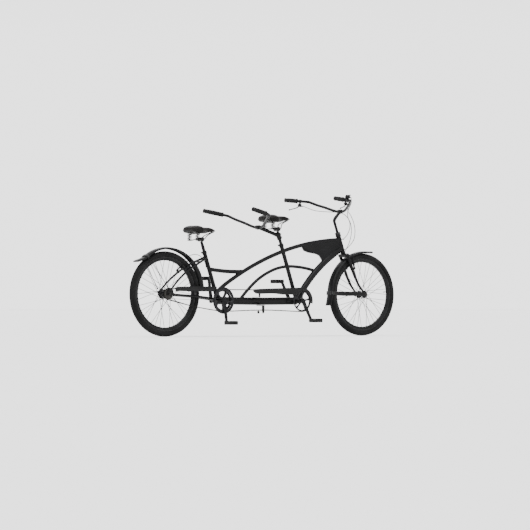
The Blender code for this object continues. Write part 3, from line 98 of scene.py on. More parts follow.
def flat(*points):
    """(s, z) points in the middle plane."""
    return places([(s, 0, z) for s, z in points])


def polar(hub, radius, degrees, y=0.0):
    """A point round a hub, its angle counted up from straight ahead."""
    a = math.radians(degrees)
    return hub + np.array((radius * math.cos(a), y, radius * math.sin(a)))


def ray(turn):
    """The way out from an axle along Y, its angle counted up from straight ahead."""
    return np.array((math.cos(turn), 0, math.sin(turn)))


def mirrored(half):
    """Half an outline of (across, depth) points that ends on the middle line, and its mirror image."""
    return half + [(-across, depth) for across, depth in reversed(half[:-1])]


def on_head(z):
    return HEAD_FOOT + HEAD_AXIS * (z - HEAD_FOOT[2]) / HEAD_AXIS[2]


def on_seat(end, z):
    start = BRACKET[end]
    return start + SEAT_AXIS * (z - start[2]) / SEAT_AXIS[2]


# ---------------------------------------------------------------- shells: vertices and faces
def ring_shell(rings, loop=False):
    """A skin through rings of equal length, capped at both ends or closed into a loop."""
    rings = np.asarray(rings, float)
    rows, cols = rings.shape[:2]
    grid = np.arange(rows * cols).reshape(rows, cols)
    here = grid if loop else grid[:-1]
    ahead = np.roll(grid, -1, 0) if loop else grid[1:]
    quads = np.stack([here, np.roll(here, -1, 1), np.roll(ahead, -1, 1), ahead], -1)
    faces = quads.reshape(-1, 4).tolist()
    if not loop:
        faces += [grid[0][::-1].tolist(), grid[-1].tolist()]
    return rings.reshape(-1, 3), faces


def curve(points, steps=8):
    """A Catmull-Rom curve through rows of numbers: places, and any radii that follow them."""
    p = np.array(points, float)
    p = np.vstack([2 * p[0] - p[1], p, 2 * p[-1] - p[-2]])
    rows = []
    for a, b, c, d in zip(p, p[1:], p[2:], p[3:]):
        for t in np.arange(steps) / steps:
            bend = (2 * a - 5 * b + 4 * c - d) * t * t + (3 * b - a - 3 * c + d) * t**3
            rows.append((2 * b + (c - a) * t + bend) / 2)
    rows.append(p[-2])
    return np.array(rows)


def tube(path, radius, sides=24, side=LEFT, loop=False):
    """A tube along a path; radius is one number, one per point, or two (across, in the bend)."""
    path = np.asarray(path, float)
    radii = np.broadcast_to(np.asarray(radius, float).reshape(-1, 1), (len(path), 2)) \
        if np.ndim(radius) < 2 else np.asarray(radius, float)
    ahead = np.roll(path, -1, 0) if loop else np.vstack([path[1:], path[-1:]])
    behind = np.roll(path, 1, 0) if loop else np.vstack([path[:1], path[:-1]])
    cross = np.array(side, float)
    turn = np.arange(sides) * 2 * math.pi / sides
    rings = []
    for here, way, (wide, deep) in zip(path, ahead - behind, radii):
        way = unit(way)
        cross = unit(cross - way * cross.dot(way))
        other = np.cross(way, cross)
        rings.append(here + np.outer(np.cos(turn) * wide, cross) + np.outer(np.sin(turn) * deep, other))
    return ring_shell(rings, loop)


def rod(start, end, radius, sides=20, chamfer=0.0006):
    """A cylinder with softened ends between two points."""
    start, end = np.array(start, float), np.array(end, float)
    way = unit(end - start)
    chamfer = min(chamfer, radius * 0.4, np.linalg.norm(end - start) * 0.3)
    stops = [start, start + way * chamfer, end - way * chamfer, end]
    side = LEFT if abs(way[1]) < 0.9 else UP
    return tube(stops, [radius - chamfer, radius, radius, radius - chamfer], sides, side)


def lathe(profile, centre, way=LEFT, sides=64):
    """A closed outline of (radius, distance along the axis) spun round the axis."""
    way = unit(way)
    cross = unit(np.cross(way, UP if abs(way[2]) < 0.9 else LEFT))
    other = np.cross(way, cross)
    rings = []
    for angle in np.arange(sides) * 2 * math.pi / sides:
        out = cross * math.cos(angle) + other * math.sin(angle)
        rings.append([centre + out * r + way * t for r, t in profile])
    return ring_shell(rings, True)


def slab(outline, low, high, across=LEFT, bevel=0.0006):
    """A plate: a closed outline of points, extruded along across from low to high, edges softened."""
    outline = np.asarray(outline, float)
    middle = (np.roll(outline, -1, 0) - np.roll(outline, 1, 0))
    inward = np.cross(across, middle)
    inward /= np.linalg.norm(inward, axis=1, keepdims=True) + 1e-12
    area = np.cross(outline, np.roll(outline, -1, 0)).sum(0).dot(across)
    inward *= 1 if area > 0 else -1
    bevel = min(bevel, abs(high - low) * 0.45)
    rings = [
        outline + inward * bevel + across * low,
        outline + across * (low + bevel),
        outline + across * (high - bevel),
        outline + inward * bevel + across * high,
    ]
    return ring_shell(rings)


def hexagon(centre, way, radius, height):
    """A nut or a bolt head with six flats, a chamfered top and a washer under it."""
    way = unit(way)
    head = tube([centre, centre + way * height * 0.82, centre + way * height],
                [radius, radius, radius * 0.86], 6,
                LEFT if abs(way[1]) < 0.9 else UP)
    washer = rod(centre - way * 0.0004, centre + way * 0.0012, radius * 1.25, 24, 0.0003)
    return [head, washer]


def socket_bolt(centre, way, radius, height):
    """A round bolt head with a socket sunk in it."""
    profile = [(0.0001, 0), (radius, 0), (radius, height * 0.8), (radius * 0.85, height)]
    profile += [(radius * 0.5, height), (radius * 0.5, height * 0.45), (0.0001, height * 0.45)]
    return lathe(profile, np.array(centre, float), way, 24)


# ---------------------------------------------------------------- pieces
def link(name, data):
    """Puts a new object with this data into the scene."""
    thing = bpy.data.objects.new(name, data)
    bpy.context.scene.collection.objects.link(thing)
    return thing


def build(name, shells):
    verts, faces, count = [], [], 0
    for points, quads in shells:
        verts.append(points)
        faces += [[k + count for k in face] for face in quads]
        count += len(points)
    mesh = bpy.data.meshes.new(name)
    mesh.from_pydata(np.vstack(verts).tolist(), [], faces)
    bm = bmesh.new()
    bm.from_mesh(mesh)
    bmesh.ops.remove_doubles(bm, verts=bm.verts, dist=1e-6)
    bmesh.ops.recalc_face_normals(bm, faces=bm.faces)
    bm.to_mesh(mesh)
    bm.free()
    return link(name, mesh)


def bake(piece, **modifiers):
    """Adds modifiers by type, with their settings, and applies them."""
    for kind, settings in modifiers.items():
        modifier = piece.modifiers.new(kind, kind)
        for key, value in settings.items():
            setattr(modifier, key, value)
    graph = bpy.context.evaluated_depsgraph_get()
    result = bpy.data.meshes.new_from_object(piece.evaluated_get(graph))
    piece.modifiers.clear()
    piece.data = result
    return piece


def weld(name, shells, voxel, rounds=5):
    """Shells melted into one skin, with the soft fillets of a weld where they meet."""
    piece = build(name, shells)
    bake(piece, REMESH={"mode": "VOXEL", "voxel_size": voxel, "adaptivity": 0.0})
    return bake(piece, SMOOTH={"factor": 0.5, "iterations": rounds})


def dress(piece, look, slot, body, *nodes, angle=40):
    """Gives a piece its material, lets it ride, and says what it stands for; the slot is not used."""
    piece.data.materials.clear()
    piece.data.materials.append(LOOKS[look])
    piece.data.shade_smooth()
    if angle:
        piece.data.set_sharp_from_angle(angle=math.radians(angle))
    if body:
        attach(piece, body)
    if nodes:
        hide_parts(*nodes)
    return piece


# ---------------------------------------------------------------- materials
class Nodes:
    """A short way to write one material's node tree, on the object's own coordinates."""

    def __init__(self, name):
        self.material = bpy.data.materials.new(name)
        self.material.use_nodes = True
        self.tree = self.material.node_tree
        self.shader = self.tree.nodes["Principled BSDF"]
        self.where = self.tree.nodes.new("ShaderNodeTexCoord").outputs["Object"]

    def add(self, kind, settings=None, **inputs):
        node = self.tree.nodes.new("ShaderNode" + kind)
        for key, value in (settings or {}).items():
            setattr(node, key, value)
        for key, value in inputs.items():
            socket = node.inputs[key.replace("_", " ")]
            if isinstance(value, bpy.types.NodeSocket):
                self.tree.links.new(value, socket)
            else:
                socket.default_value = value
        return node

    def noise(self, scale, detail=3.0, where=None):
        return self.add("TexNoise", Vector=where or self.where, Scale=scale, Detail=detail).outputs["Fac"]

    def ramp(self, value, *stops):
        """Colours or greys at places from 0 to 1."""
        node = self.add("ValToRGB", Fac=value)
        points = node.color_ramp.elements
        while len(points) < len(stops):
            points.new(0.5)
        for point, (place_on_ramp, shade) in zip(points, stops):
            point.position = place_on_ramp
            point.color = (*shade, 1) if np.ndim(shade) else (shade, shade, shade, 1)
        return node.outputs["Color"]

    def mix(self, share, first, second):
        node = self.add("Mix", {"data_type": "RGBA"})
        for socket, value in zip((node.inputs[0], node.inputs[6], node.inputs[7]), (share, first, second)):
            if isinstance(value, bpy.types.NodeSocket):
                self.tree.links.new(value, socket)
            else:
                socket.default_value = (*value, 1) if np.ndim(value) else value
        return node.outputs[2]

    def set(self, **inputs):
        for key, value in inputs.items():
            socket = self.shader.inputs[key.replace("_", " ")]
            if isinstance(value, bpy.types.NodeSocket):
                self.tree.links.new(value, socket)
            else:
                socket.default_value = value

    def bump(self, *layers):
        """Height fields with their strength and depth in metres, one on top of the other."""
        normal = None
        for height, strength, depth in layers:
            inputs = {"Height": height, "Strength": strength, "Distance": depth}
            if normal:
                inputs["Normal"] = normal
            normal = self.add("Bump", **inputs).outputs["Normal"]
        self.set(Normal=normal)


def dark(name, tone, rough, metallic=0.0, worn=None, coat=0.0, spread=0.35, sheen=0.0, dusty=0.10):
    """A near-black finish with slow drifts of tone and gloss, fine dust, and edges rubbed paler."""
    n = Nodes(name)
    tone = np.array(tone, float)
    drift = n.ramp(n.noise(9.0, 4.0), (0.35, tuple(tone * (1 - spread))), (0.65, tuple(tone * (1 + spread))))
    dust = n.ramp(n.noise(55.0, 8.0), (0.56, 0.0), (0.80, dusty))
    colour = n.mix(dust, drift, tuple(tone * 0.6 + 0.030))
    if worn:
        point = n.add("NewGeometry").outputs["Pointiness"]
        edge = n.ramp(point, (0.535, 0.0), (0.60, 0.65))
        rubbed = n.add("Math", {"operation": "MULTIPLY"})
        n.tree.links.new(edge, rubbed.inputs[0])
        n.tree.links.new(n.ramp(n.noise(140.0, 5.0), (0.42, 0.0), (0.60, 1.0)), rubbed.inputs[1])
        colour = n.mix(rubbed.outputs[0], colour, worn)
    gloss = n.ramp(n.noise(28.0, 6.0), (0.3, rough * 0.88), (0.7, min(1.0, rough * 1.15)))
    n.set(Base_Color=colour, Roughness=gloss, Metallic=metallic)
    n.shader.inputs["Coat Weight"].default_value = coat
    n.shader.inputs["Coat Roughness"].default_value = 0.07
    n.shader.inputs["Specular IOR Level"].default_value = 0.07
    n.shader.inputs["Sheen Weight"].default_value = sheen
    return n


def paint():
    n = dark("gloss_black_enamel", (0.0030, 0.0030, 0.0034), 0.26, 0.0, (0.030, 0.030, 0.030), coat=0.06)
    n.bump((n.noise(320.0, 2.0), 0.10, 0.0004))
    return n.material


def satin():
    n = dark("satin_black_paint", (0.0050, 0.0050, 0.0054), 0.42, 0.0, (0.05, 0.05, 0.05), coat=0.05)
    n.bump((n.noise(900.0, 3.0), 0.16, 0.0003))
    return n.material


def anodised():
    n = dark("black_anodised_alloy", (0.008, 0.008, 0.009), 0.40, 0.5, (0.045, 0.045, 0.047), spread=0.15,
             dusty=0.03)
    n.bump((n.noise(1500.0, 2.0), 0.10, 0.0002))
    return n.material


def steel():
    n = dark("oiled_black_steel", (0.018, 0.0175, 0.0165), 0.38, 0.8, (0.065, 0.063, 0.060), spread=0.2,
             dusty=0.03)
    stretch = n.add("Mapping", Vector=n.where, Scale=(60.0, 900.0, 60.0)).outputs["Vector"]
    n.bump((n.noise(3.0, 4.0, stretch), 0.12, 0.0002), (n.noise(700.0), 0.12, 0.0002))
    return n.material


def oiled():
    n = dark("oiled_chain_steel", (0.007, 0.0068, 0.0063), 0.44, 0.4, (0.045, 0.043, 0.040), spread=0.3,
             dusty=0.04)
    n.bump((n.noise(900.0, 4.0), 0.15, 0.0002))
    return n.material


def rubber(name, tone, rough, grain):
    n = dark(name, (tone, tone, tone * 1.02), rough, 0.0, (0.022, 0.021, 0.020), spread=0.3, sheen=0.04)
    n.bump((n.noise(grain, 6.0), 0.35, 0.0003), (n.noise(grain * 0.1, 3.0), 0.15, 0.0006))
    return n.material


def vinyl():
    """Grained saddle cover: small rounded cells with creases between, and finer pores on them."""
    n = dark("grained_black_vinyl", (0.0050, 0.0046, 0.0044), 0.46, 0.0, (0.020, 0.019, 0.018))
    cells = {"Vector": n.where, "Scale": 520.0}
    grain = n.add("TexVoronoi", {"feature": "DISTANCE_TO_EDGE"}, **cells).outputs["Distance"]
    n.bump((n.ramp(grain, (0.0, 0.0), (0.16, 1.0)), 0.28, 0.0004), (n.noise(2200.0), 0.12, 0.0002))
    return n.material


def housing():
    n = dark("black_cable_housing", (0.007, 0.007, 0.007), 0.38, 0.0, coat=0.1)
    n.bump((n.noise(600.0), 0.08, 0.0002))
    return n.material


def moulded():
    n = dark("moulded_black_plastic", (0.009, 0.009, 0.0095), 0.50, 0.0, (0.03, 0.03, 0.03))
    n.bump((n.noise(1300.0, 5.0), 0.28, 0.0003))
    return n.material


LOOKS = {
    "paint": paint(),
    "satin": satin(),
    "alloy": anodised(),
    "steel": steel(),
    "chain": oiled(),
    "tyre": rubber("tyre_rubber", 0.0055, 0.80, 420.0),
    "grip": rubber("grip_rubber", 0.0085, 0.68, 650.0),
    "vinyl": vinyl(),
    "cable": housing(),
    "plastic": moulded(),
}


# ---------------------------------------------------------------- frame
UPPER_ARCH = flat((0.497, 0.340), (0.60, 0.414), (0.80, 0.5245), (1.00, 0.613), (1.20, 0.6815),
                  (1.40, 0.7295), (1.60, 0.7575), (1.737, 0.767))
MIDDLE_ARCH = flat((0.725, 0.278), (0.80, 0.355), (0.90, 0.438), (1.00, 0.4955), (1.10, 0.533),
                   (1.20, 0.5495), (1.30, 0.548), (1.40, 0.5355), (1.478, 0.5185))
REAR_TOP = flat((0.434, 0.5235), (0.50, 0.516), (0.60, 0.508), (0.70, 0.5055), (0.765, 0.507))
DOWN_TUBE = flat((1.757, 0.698), (1.720, 0.678), (1.6865, 0.657), (1.584, 0.587), (1.482, 0.500),
                 (1.400, 0.413), (1.345, 0.342), (1.303, 0.286))
DOWN_TUBE_RADII = np.array([(0.0165, 0.0230), (0.0220, 0.0254), *[(0.0254, 0.0254)] * 4,
                            (0.0245, 0.0254), (0.0230, 0.0230)])
SEAT_TOPS = {"rear": 0.664, "front": 0.728}
SEAT_TUBE = 0.0162
SHELL_RADIUS = 0.022
SHELL_HALF = 0.034
HEAD_LOW, HEAD_HIGH = 0.6605, 0.7895


def main_frame():
    """The frame's tubes, bracket shells, seat lugs and head tube, welded into one skin, and its bolts."""
    down = curve(np.hstack([DOWN_TUBE, DOWN_TUBE_RADII]), 6)
    boom = curve([BRACKET["rear"], place(0.9, 0, 0.275), BRACKET["front"]])
    shells = [
        tube(curve(UPPER_ARCH), 0.0159),
        tube(curve(MIDDLE_ARCH), 0.0127),
        tube(curve(REAR_TOP), 0.0159),
        tube(down[:, :3], down[:, 3:], 32),
        tube(boom, np.full((len(boom), 2), (0.021, 0.030)), 32),
        rod(on_head(HEAD_LOW + 0.002), on_head(HEAD_HIGH), 0.0185, 32),
        rod(on_head(HEAD_LOW), on_head(HEAD_LOW + 0.008), 0.0213, 32),
        rod(on_head(HEAD_HIGH - 0.009), on_head(HEAD_HIGH), 0.0200, 32),
    ]
    for end, top in SEAT_TOPS.items():
        centre = BRACKET[end]
        shells.append(rod(centre - LEFT * SHELL_HALF, centre + LEFT * SHELL_HALF, SHELL_RADIUS, 32, 0.0015))
        shells.append(rod(centre, on_seat(end, top), SEAT_TUBE, 28))
        shells.append(rod(on_seat(end, top - 0.022), on_seat(end, top - 0.001), SEAT_TUBE + 0.0028, 28,
                          0.001))
        ear = on_seat(end, top - 0.012) + np.array((-0.0215, 0, 0))
        box = [ear + np.array((a, 0, b)) for a, b in ((-0.009, -0.007), (0.010, -0.007), (0.010, 0.007),
                                                      (-0.009, 0.007))]
        shells.append(slab(box, 0.0016, 0.0068, bevel=0.001))
        shells.append(slab(box, -0.0068, -0.0016, bevel=0.001))
    piece = weld("frame_welded", shells, 0.0021, 6)
    dress(piece, "paint", "frame_paint", "frame", "frame", angle=0)
    bolts = []
    for end, top in SEAT_TOPS.items():
        ear = on_seat(end, top - 0.012) + np.array((-0.024, 0, 0))
        bolts.append(rod(ear - LEFT * 0.0072, ear + LEFT * 0.0072, 0.0028))
        bolts.append(socket_bolt(ear - LEFT * 0.0070, -LEFT, 0.0046, 0.0042))
        bolts += hexagon(ear + LEFT * 0.0072, LEFT, 0.0045, 0.0038)
    dress(build("seat_clamp_bolts", bolts), "steel", "axle_steel", "frame")
    cups = []
    for end in SEAT_TOPS:
        for sign in (1, -1):
            start = BRACKET[end] + LEFT * sign * (SHELL_HALF - 0.001)
            profile = [(0.0090, 0), (0.0205, 0), (0.0205, 0.0022), (0.0180, 0.0030), (0.0090, 0.0030)]
            cups.append(lathe(profile, start, LEFT * sign, 24))
    dress(build("bracket_cups", cups), "steel", "axle_steel", "frame")


def brake_boss(end, side, root):
    """The stud that a brake arm turns on, with its shoulder, from a depth inside the tube."""
    pivot, out = at(f"{end}_brake_arm_{side}"), BRAKE_OUT[end]
    foot = pivot - out * root
    return [rod(foot, pivot - out * 0.0065, 0.0072), rod(foot, pivot + out * 0.0075, 0.0040)]


def dropout(sign, low, high, *outline):
    """A dropout plate on one side, its faces low and high from the middle plane."""
    return slab(flat(*outline), *sorted((sign * low, sign * high)), bevel=0.001)


def rear_stays():
    """Chain stays, seat stays, dropouts, two bridges and the brake's studs, welded together."""
    shells = []
    for side, sign in SIDES:
        chain_stay = [(0.500, 0.022, 0.286, 0.0105), (0.440, 0.032, 0.293, 0.0105),
                      (0.385, 0.046, 0.300, 0.0095), (0.270, 0.048, 0.312, 0.0095),
                      (0.140, 0.0545, 0.320, 0.0090), (0.060, 0.0625, 0.326, 0.0075),
                      (0.018, 0.0628, 0.329, 0.0055)]
        seat_stay = [(0.010, 0.0652, 0.349, 0.0055), (0.030, 0.0652, 0.380, 0.0068),
                     (0.100, 0.058, 0.447, 0.0085), (0.200, 0.050, 0.520, 0.0090),
                     (0.290, 0.047, 0.567, 0.0090), (0.345, 0.033, 0.592, 0.0085),
                     (0.392, 0.012, 0.614, 0.0085)]
        for line in (chain_stay, seat_stay):
            rows = curve([(s, sign * y, z, r) for s, y, z, r in line], 6)
            shells.append(tube(places(rows), rows[:, 3], 20))
        shells.append(dropout(sign, 0.0600, 0.0650, (-0.020, 0.318), (0.030, 0.314), (0.048, 0.324),
                              (0.030, 0.372), (0.008, 0.374), (-0.020, 0.345)))
        shells += brake_boss("rear", side, 0.028)
    shells.append(rod(place(0.392, -0.043, 0.300), place(0.392, 0.043, 0.300), 0.0065))
    shells.append(rod(place(0.318, -0.042, 0.581), place(0.318, 0.042, 0.581), 0.0065))
    gusset = flat((0.375, 0.606), (0.392, 0.606), (0.392, 0.622), (0.375, 0.622))
    shells.append(slab(gusset, -0.012, 0.012))
    dress(weld("rear_stays_welded", shells, 0.0017, 4), "paint", "frame_paint", "frame", "rear_stays",
          angle=0)


def tank():
    """The closed panel between the upper arch and the down tube, with a pressed border."""
    outline = flat((1.350, 0.712), (1.375, 0.675), (1.415, 0.661), (1.500, 0.649), (1.535, 0.634),
                   (1.570, 0.585), (1.684, 0.655), (1.760, 0.700), (1.735, 0.760), (1.600, 0.755),
                   (1.450, 0.738))
    middle = outline.mean(0)
    rings = []
    for share, y in ((0.90, -0.0108), (0.95, -0.0125), (1.0, -0.0105), (1.0, 0.0105), (0.95, 0.0125),
                     (0.90, 0.0108)):
        rings.append(middle + (outline - middle) * share + LEFT * y)
    piece = build("frame_tank_panel", [ring_shell(rings)])
    bake(piece, BEVEL={"width": 0.0016, "segments": 3, "limit_method": "ANGLE"})
    dress(piece, "paint", "frame_paint", "frame", "frame_tank")


BRAKE_UP = {"front": unit((-0.222, 0, 0.975)), "rear": unit((0.776, 0, 0.630))}
BRAKE_OUT = {"front": np.array((BRAKE_UP["front"][2], 0, -BRAKE_UP["front"][0])),
             "rear": np.array((-BRAKE_UP["rear"][2], 0, BRAKE_UP["rear"][0]))}


# ---------------------------------------------------------------- wheels
TYRE_OUT, TYRE_SECTION = 0.330, 0.027
BEAD, RIM_FLANGE, RIM_INNER = 0.2797, 0.2855, 0.259
KNOBS = 88  # across the tread, counted round the tyre
SPOKES = 36
# Half gap and radius of the flanges, then the radius and half length of the shell
HUB_SHELL = {"front": (0.034, 0.030, 0.0170, 0.0400), "rear": (0.030, 0.038, 0.0320, 0.0370)}
# Where the cones begin, the axle's half length and the middle of the dropout
AXLE = {"front": (0.0405, 0.0690, 0.0525), "rear": (0.0590, 0.0820, 0.0625)}


def tyre_shell(hub):
    """A round tyre with a tread of diamond knobs: the grooves are cut in, so the outside stays true."""
    around, across = KNOBS * 8, 44
    turn = np.arange(around) * 2 * math.pi / around
    spread = np.radians(np.linspace(-124, 124, across))
    wave = np.arange(around)[:, None] / around * 2 * math.pi
    lean = spread[None, :] * 3.4
    knob = np.cos(KNOBS * wave + lean * 2.2) * np.cos(KNOBS * wave - lean * 2.2)
    shoulder = np.clip((np.radians(62) - np.abs(spread)) / np.radians(9), 0, 1)[None, :]
    centre_rib = np.clip(1 - np.abs(spread) / np.radians(7), 0, 1)[None, :]
    groove = 0.0021 * shoulder * (1 - np.clip(knob * 3.2 + 0.25, 0, 1)) * (1 - centre_rib)
    ribs = 0.0006 * (np.abs(np.abs(spread) - np.radians(92)) < np.radians(4))[None, :]
    section = TYRE_SECTION - groove - ribs
    radius = (TYRE_OUT - TYRE_SECTION) + section * np.cos(spread)
    side = section * np.sin(spread)
    rings = np.stack([hub[0] + radius * np.cos(turn)[:, None], hub[1] + side,
                      hub[2] + radius * np.sin(turn)[:, None]], -1)
    inner = []
    for r, y in ((RIM_FLANGE + 0.0009, 0.0138), (BEAD + 0.0003, 0.0138), (BEAD + 0.0003, -0.0138),
                 (RIM_FLANGE + 0.0009, -0.0138)):
        inner.append(np.stack([hub[0] + r * np.cos(turn), np.full(around, hub[1] + y),
                               hub[2] + r * np.sin(turn)], -1))
    return ring_shell(np.concatenate([rings, np.stack(inner, 1)], 1), True)


def wheel(end):
    """A tyre on its rim, a flanged hub, spokes that cross in pairs, their nipples and a valve."""
    hub, body = HUB[end], f"{end}_wheel"
    flange_y, flange_r, shell_r, shell_end = HUB_SHELL[end]
    dress(build(f"{end}_tyre_treaded", [tyre_shell(hub)]), "tyre", "tyre_rubber", body, f"{end}_tyre",
          angle=28)
    side = [(RIM_FLANGE, 0.0168), (RIM_FLANGE - 0.0004, 0.0150), (RIM_FLANGE - 0.003, 0.0143),
            (BEAD, 0.0143)]
    outside = [(RIM_FLANGE - 0.0060, 0.0168), (0.2790, 0.0162), (0.2680, 0.0150), (0.2625, 0.0125),
               (RIM_INNER, 0.0085)]
    profile = side + [(r, -y) for r, y in reversed(side)] + [(r, -y) for r, y in outside]
    profile += list(reversed(outside))
    rim = [lathe(profile, hub, LEFT, 192)]
    dress(build(f"{end}_rim_drawn", rim), "satin", "rim_black", body, f"{end}_rim", angle=30)
    bore = 0.0062
    half = [(bore, shell_end), (shell_r * 0.70, shell_end), (shell_r * 0.74, shell_end - 0.0015)]
    half += [(shell_r * 0.80, flange_y + 0.003), (flange_r - 0.001, flange_y + 0.0019),
             (flange_r, flange_y + 0.0008)]
    half += [(flange_r, flange_y - 0.0008), (flange_r - 0.001, flange_y - 0.0019),
             (shell_r + 0.002, flange_y - 0.0026)]
    half += [(shell_r, flange_y - 0.0060), (shell_r * 0.84, flange_y * 0.4)]
    shell = lathe(half + [(r, -y) for r, y in reversed(half)], hub, LEFT, 64)
    dress(build(f"{end}_hub_shell", [shell]), "alloy", "hub_black", body, f"{end}_hub")
    spokes, nipples = [], []
    for k in range(SPOKES):
        sign = 1 if k % 2 else -1
        lead = 1 if k % 4 < 2 else -1
        turn = 360.0 * k / SPOKES
        inside = sign * (flange_y - lead * 0.0028)
        head = polar(hub, flange_r - 0.004, turn, sign * (flange_y + lead * 0.0030))
        elbow = polar(hub, flange_r - 0.0036, turn + lead * 1.0, inside)
        foot = polar(hub, RIM_INNER + 0.0005, turn + lead * 60.0, sign * 0.003)
        neck = elbow + unit(foot - elbow) * 0.004
        spokes.append(tube([head, elbow, neck, foot], 0.0017, 8))
        spokes.append(rod(head, head + LEFT * sign * lead * 0.0007, 0.0021, 8, 0.0002))
        way = unit(foot - elbow)
        nipples.append(tube([foot - way * 0.012, foot - way * 0.010, foot + way * 0.001],
                            [0.0013, 0.0020, 0.0021], 8))
    dress(build(f"{end}_spokes", spokes), "satin", "hub_black", body)
    dress(build(f"{end}_nipples", nipples), "alloy", "rim_black", body)
    valve = polar(hub, RIM_INNER + 0.001, 5.0), polar(hub, RIM_INNER - 0.030, 5.0)
    way = unit(valve[1] - valve[0])
    nut = [(0.003, 0), (0.0062, 0), (0.0062, 0.0025), (0.003, 0.0025)]
    stem = [rod(valve[0], valve[0] + way * 0.026, 0.0026),
            rod(valve[0] + way * 0.018, valve[1], 0.0040, 12, 0.001),
            lathe(nut, valve[0] + way * 0.002, way, 12)]
    dress(build(f"{end}_valve", stem), "grip", "tyre_rubber", body)


def axle(end):
    """A threaded axle with its cones inside the dropouts and its nuts outside them."""
    hub, body = HUB[end], "steering" if end == "front" else "frame"
    inner_end, reach, dropout_y = AXLE[end]
    shells = [rod(hub - LEFT * reach, hub + LEFT * reach, 0.0049, 24, 0.0008)]
    for sign in (1, -1):
        way = LEFT * sign
        inside, outside = dropout_y - 0.0028, dropout_y + 0.0028
        cone = [(0.004, inner_end), (0.0075, inner_end), (0.0088, inner_end + 0.003), (0.0088, inside),
                (0.004, inside)]
        shells.append(lathe(cone, hub, way, 24))
        shells += hexagon(hub + way * (outside + 0.0006), way, 0.0094, 0.0084)
        for k in range(5):
            t = outside + 0.0095 + 0.0011 * k
            if t < reach - 0.001:
                shells.append(lathe([(0.0046, t), (0.0050, t + 0.0003), (0.0046, t + 0.0006)], hub, way, 20))
    dress(build(f"{end}_axle_set", shells), "steel", "axle_steel", body, f"{end}_axle")


# ---------------------------------------------------------------- fenders
FENDER_CROWN = {  # degrees round the hub, radius of the crown
    "rear": ((8.6, 0.369), (30, 0.373), (50, 0.372), (70, 0.367), (90, 0.362), (110, 0.354), (119, 0.3495),
             (126, 0.3500), (131, 0.3590), (138, 0.3810)),
    "front": ((74.7, 0.3600), (80, 0.352), (100, 0.343), (130, 0.3355), (170, 0.3345), (181, 0.3365),
              (188, 0.3470), (194.2, 0.3640)),
}


def fender(end, body):
    """A rolled steel fender with a curled edge and a raised bead along its crown."""
    hub, crown = HUB[end], np.array(FENDER_CROWN[end])
    half = [(0.0338, -0.0160), (0.0342, -0.0145), (0.0330, -0.0105), (0.0300, -0.0058), (0.0240, -0.0026),
            (0.0150, -0.0012), (0.0070, -0.0010), (0.0048, -0.0001), (0.0, 0.0)]
    out = mirrored(half)
    inner = [(y * 0.955, d - 0.0014) for y, d in reversed(out[1:-1])]
    section = out + [(-0.0322, -0.0158)] + inner + [(0.0322, -0.0158)]
    stops = np.linspace(crown[0, 0], crown[-1, 0], 96)
    smooth = curve(crown, 12)
    rings = []
    for turn in stops:
        radius = np.interp(turn, smooth[:, 0], smooth[:, 1])
        rings.append([polar(hub, radius + d, turn, y) for y, d in section])
    dress(build(f"{end}_fender_rolled", [ring_shell(rings)]), "satin", "fender_paint", body, f"{end}_fender")


def strap(hub, turn, radius, half_width):
    """A flat strap that hugs the fender's outside from edge to edge, with a rivet at its middle."""
    half = [(0.0365, -0.021), (0.0358, -0.010), (0.0340, -0.0040), (0.0275, -0.0004), (0.021, 0.0014),
            (0.010, 0.0024),
            (0.0, 0.0028)]
    along = polar(hub, 1, turn + 90) - hub
    rings = []
    for y, d in mirrored(half):
        low, high = polar(hub, radius + d, turn, y * 0.99), polar(hub, radius + d + 0.0014, turn, y * 1.035)
        rings.append([low - along * half_width, low + along * half_width, high + along * half_width * 0.94,
                      high - along * half_width * 0.94])
    top = polar(hub, radius + 0.0040, turn)
    way = unit(top - hub)
    rivets = [lathe([(0.0001, 0), (0.004, 0), (0.0034, 0.0010), (0.0001, 0.0014)],
                    top + way * 0.0001 + along * shift, way, 20)
              for shift in (-half_width * 0.5, half_width * 0.5)]
    return [ring_shell(rings), *rivets]


def fender_stays():
    """The rear fender's wires and the front one's flat blades, each with a strap round the fender."""
    hub = HUB["rear"]
    shells = strap(hub, 122.0, 0.3495, 0.011)
    for sign in (1, -1):
        eye = place(-0.016, sign * 0.071, 0.372)
        shells.append(rod(eye - LEFT * sign * 0.0030, eye + LEFT * sign * 0.0020, 0.0065, 24))
        shells.append(socket_bolt(eye + LEFT * sign * 0.0019, LEFT * sign, 0.0048, 0.0032))
        for shift in (-0.008, 0.008):
            top = polar(hub, 0.328, 122.0 + math.degrees(shift / 0.3495), sign * 0.0372)
            low = place(-0.016 + shift * 0.45, sign * 0.071, 0.374)
            middle = (top + low) / 2 + LEFT * sign * 0.0016
            shells.append(tube(curve([low, middle, top, top + unit(top - low) * 0.004]), 0.0018, 12))
    dress(build("rear_fender_stay_wires", shells), "satin", "fender_stay_metal", "frame", "rear_fender_stay")
    hub = HUB["front"]
    shells = strap(hub, 178.0, 0.3360, 0.015)
    for sign in (1, -1):
        stations = [(1.950, 0.0670, 0.3350, 0.0080), (1.930, 0.0660, 0.3335, 0.0145),
                    (1.800, 0.0475, 0.3360, 0.0170),
                    (1.648, 0.0366, 0.3415, 0.0135)]
        rings = []
        for s, y, z, half in curve(stations, 5):
            bead = [(0.0, -half), (0.0017, -half), (0.0022, -half * 0.5), (0.0032, 0.0),
                    (0.0022, half * 0.5),
                    (0.0017, half), (0.0, half), (0.0010, 0.0)]
            rings.append([place(s, sign * (y + a), z + b) for a, b in bead])
        shells.append(ring_shell(rings))
        shells.append(socket_bolt(place(1.948, sign * 0.0692, 0.3350), LEFT * sign, 0.0048, 0.0032))
    dress(build("front_fender_stay_blades", shells), "satin", "fender_stay_metal", "steering",
          "front_fender_stay")


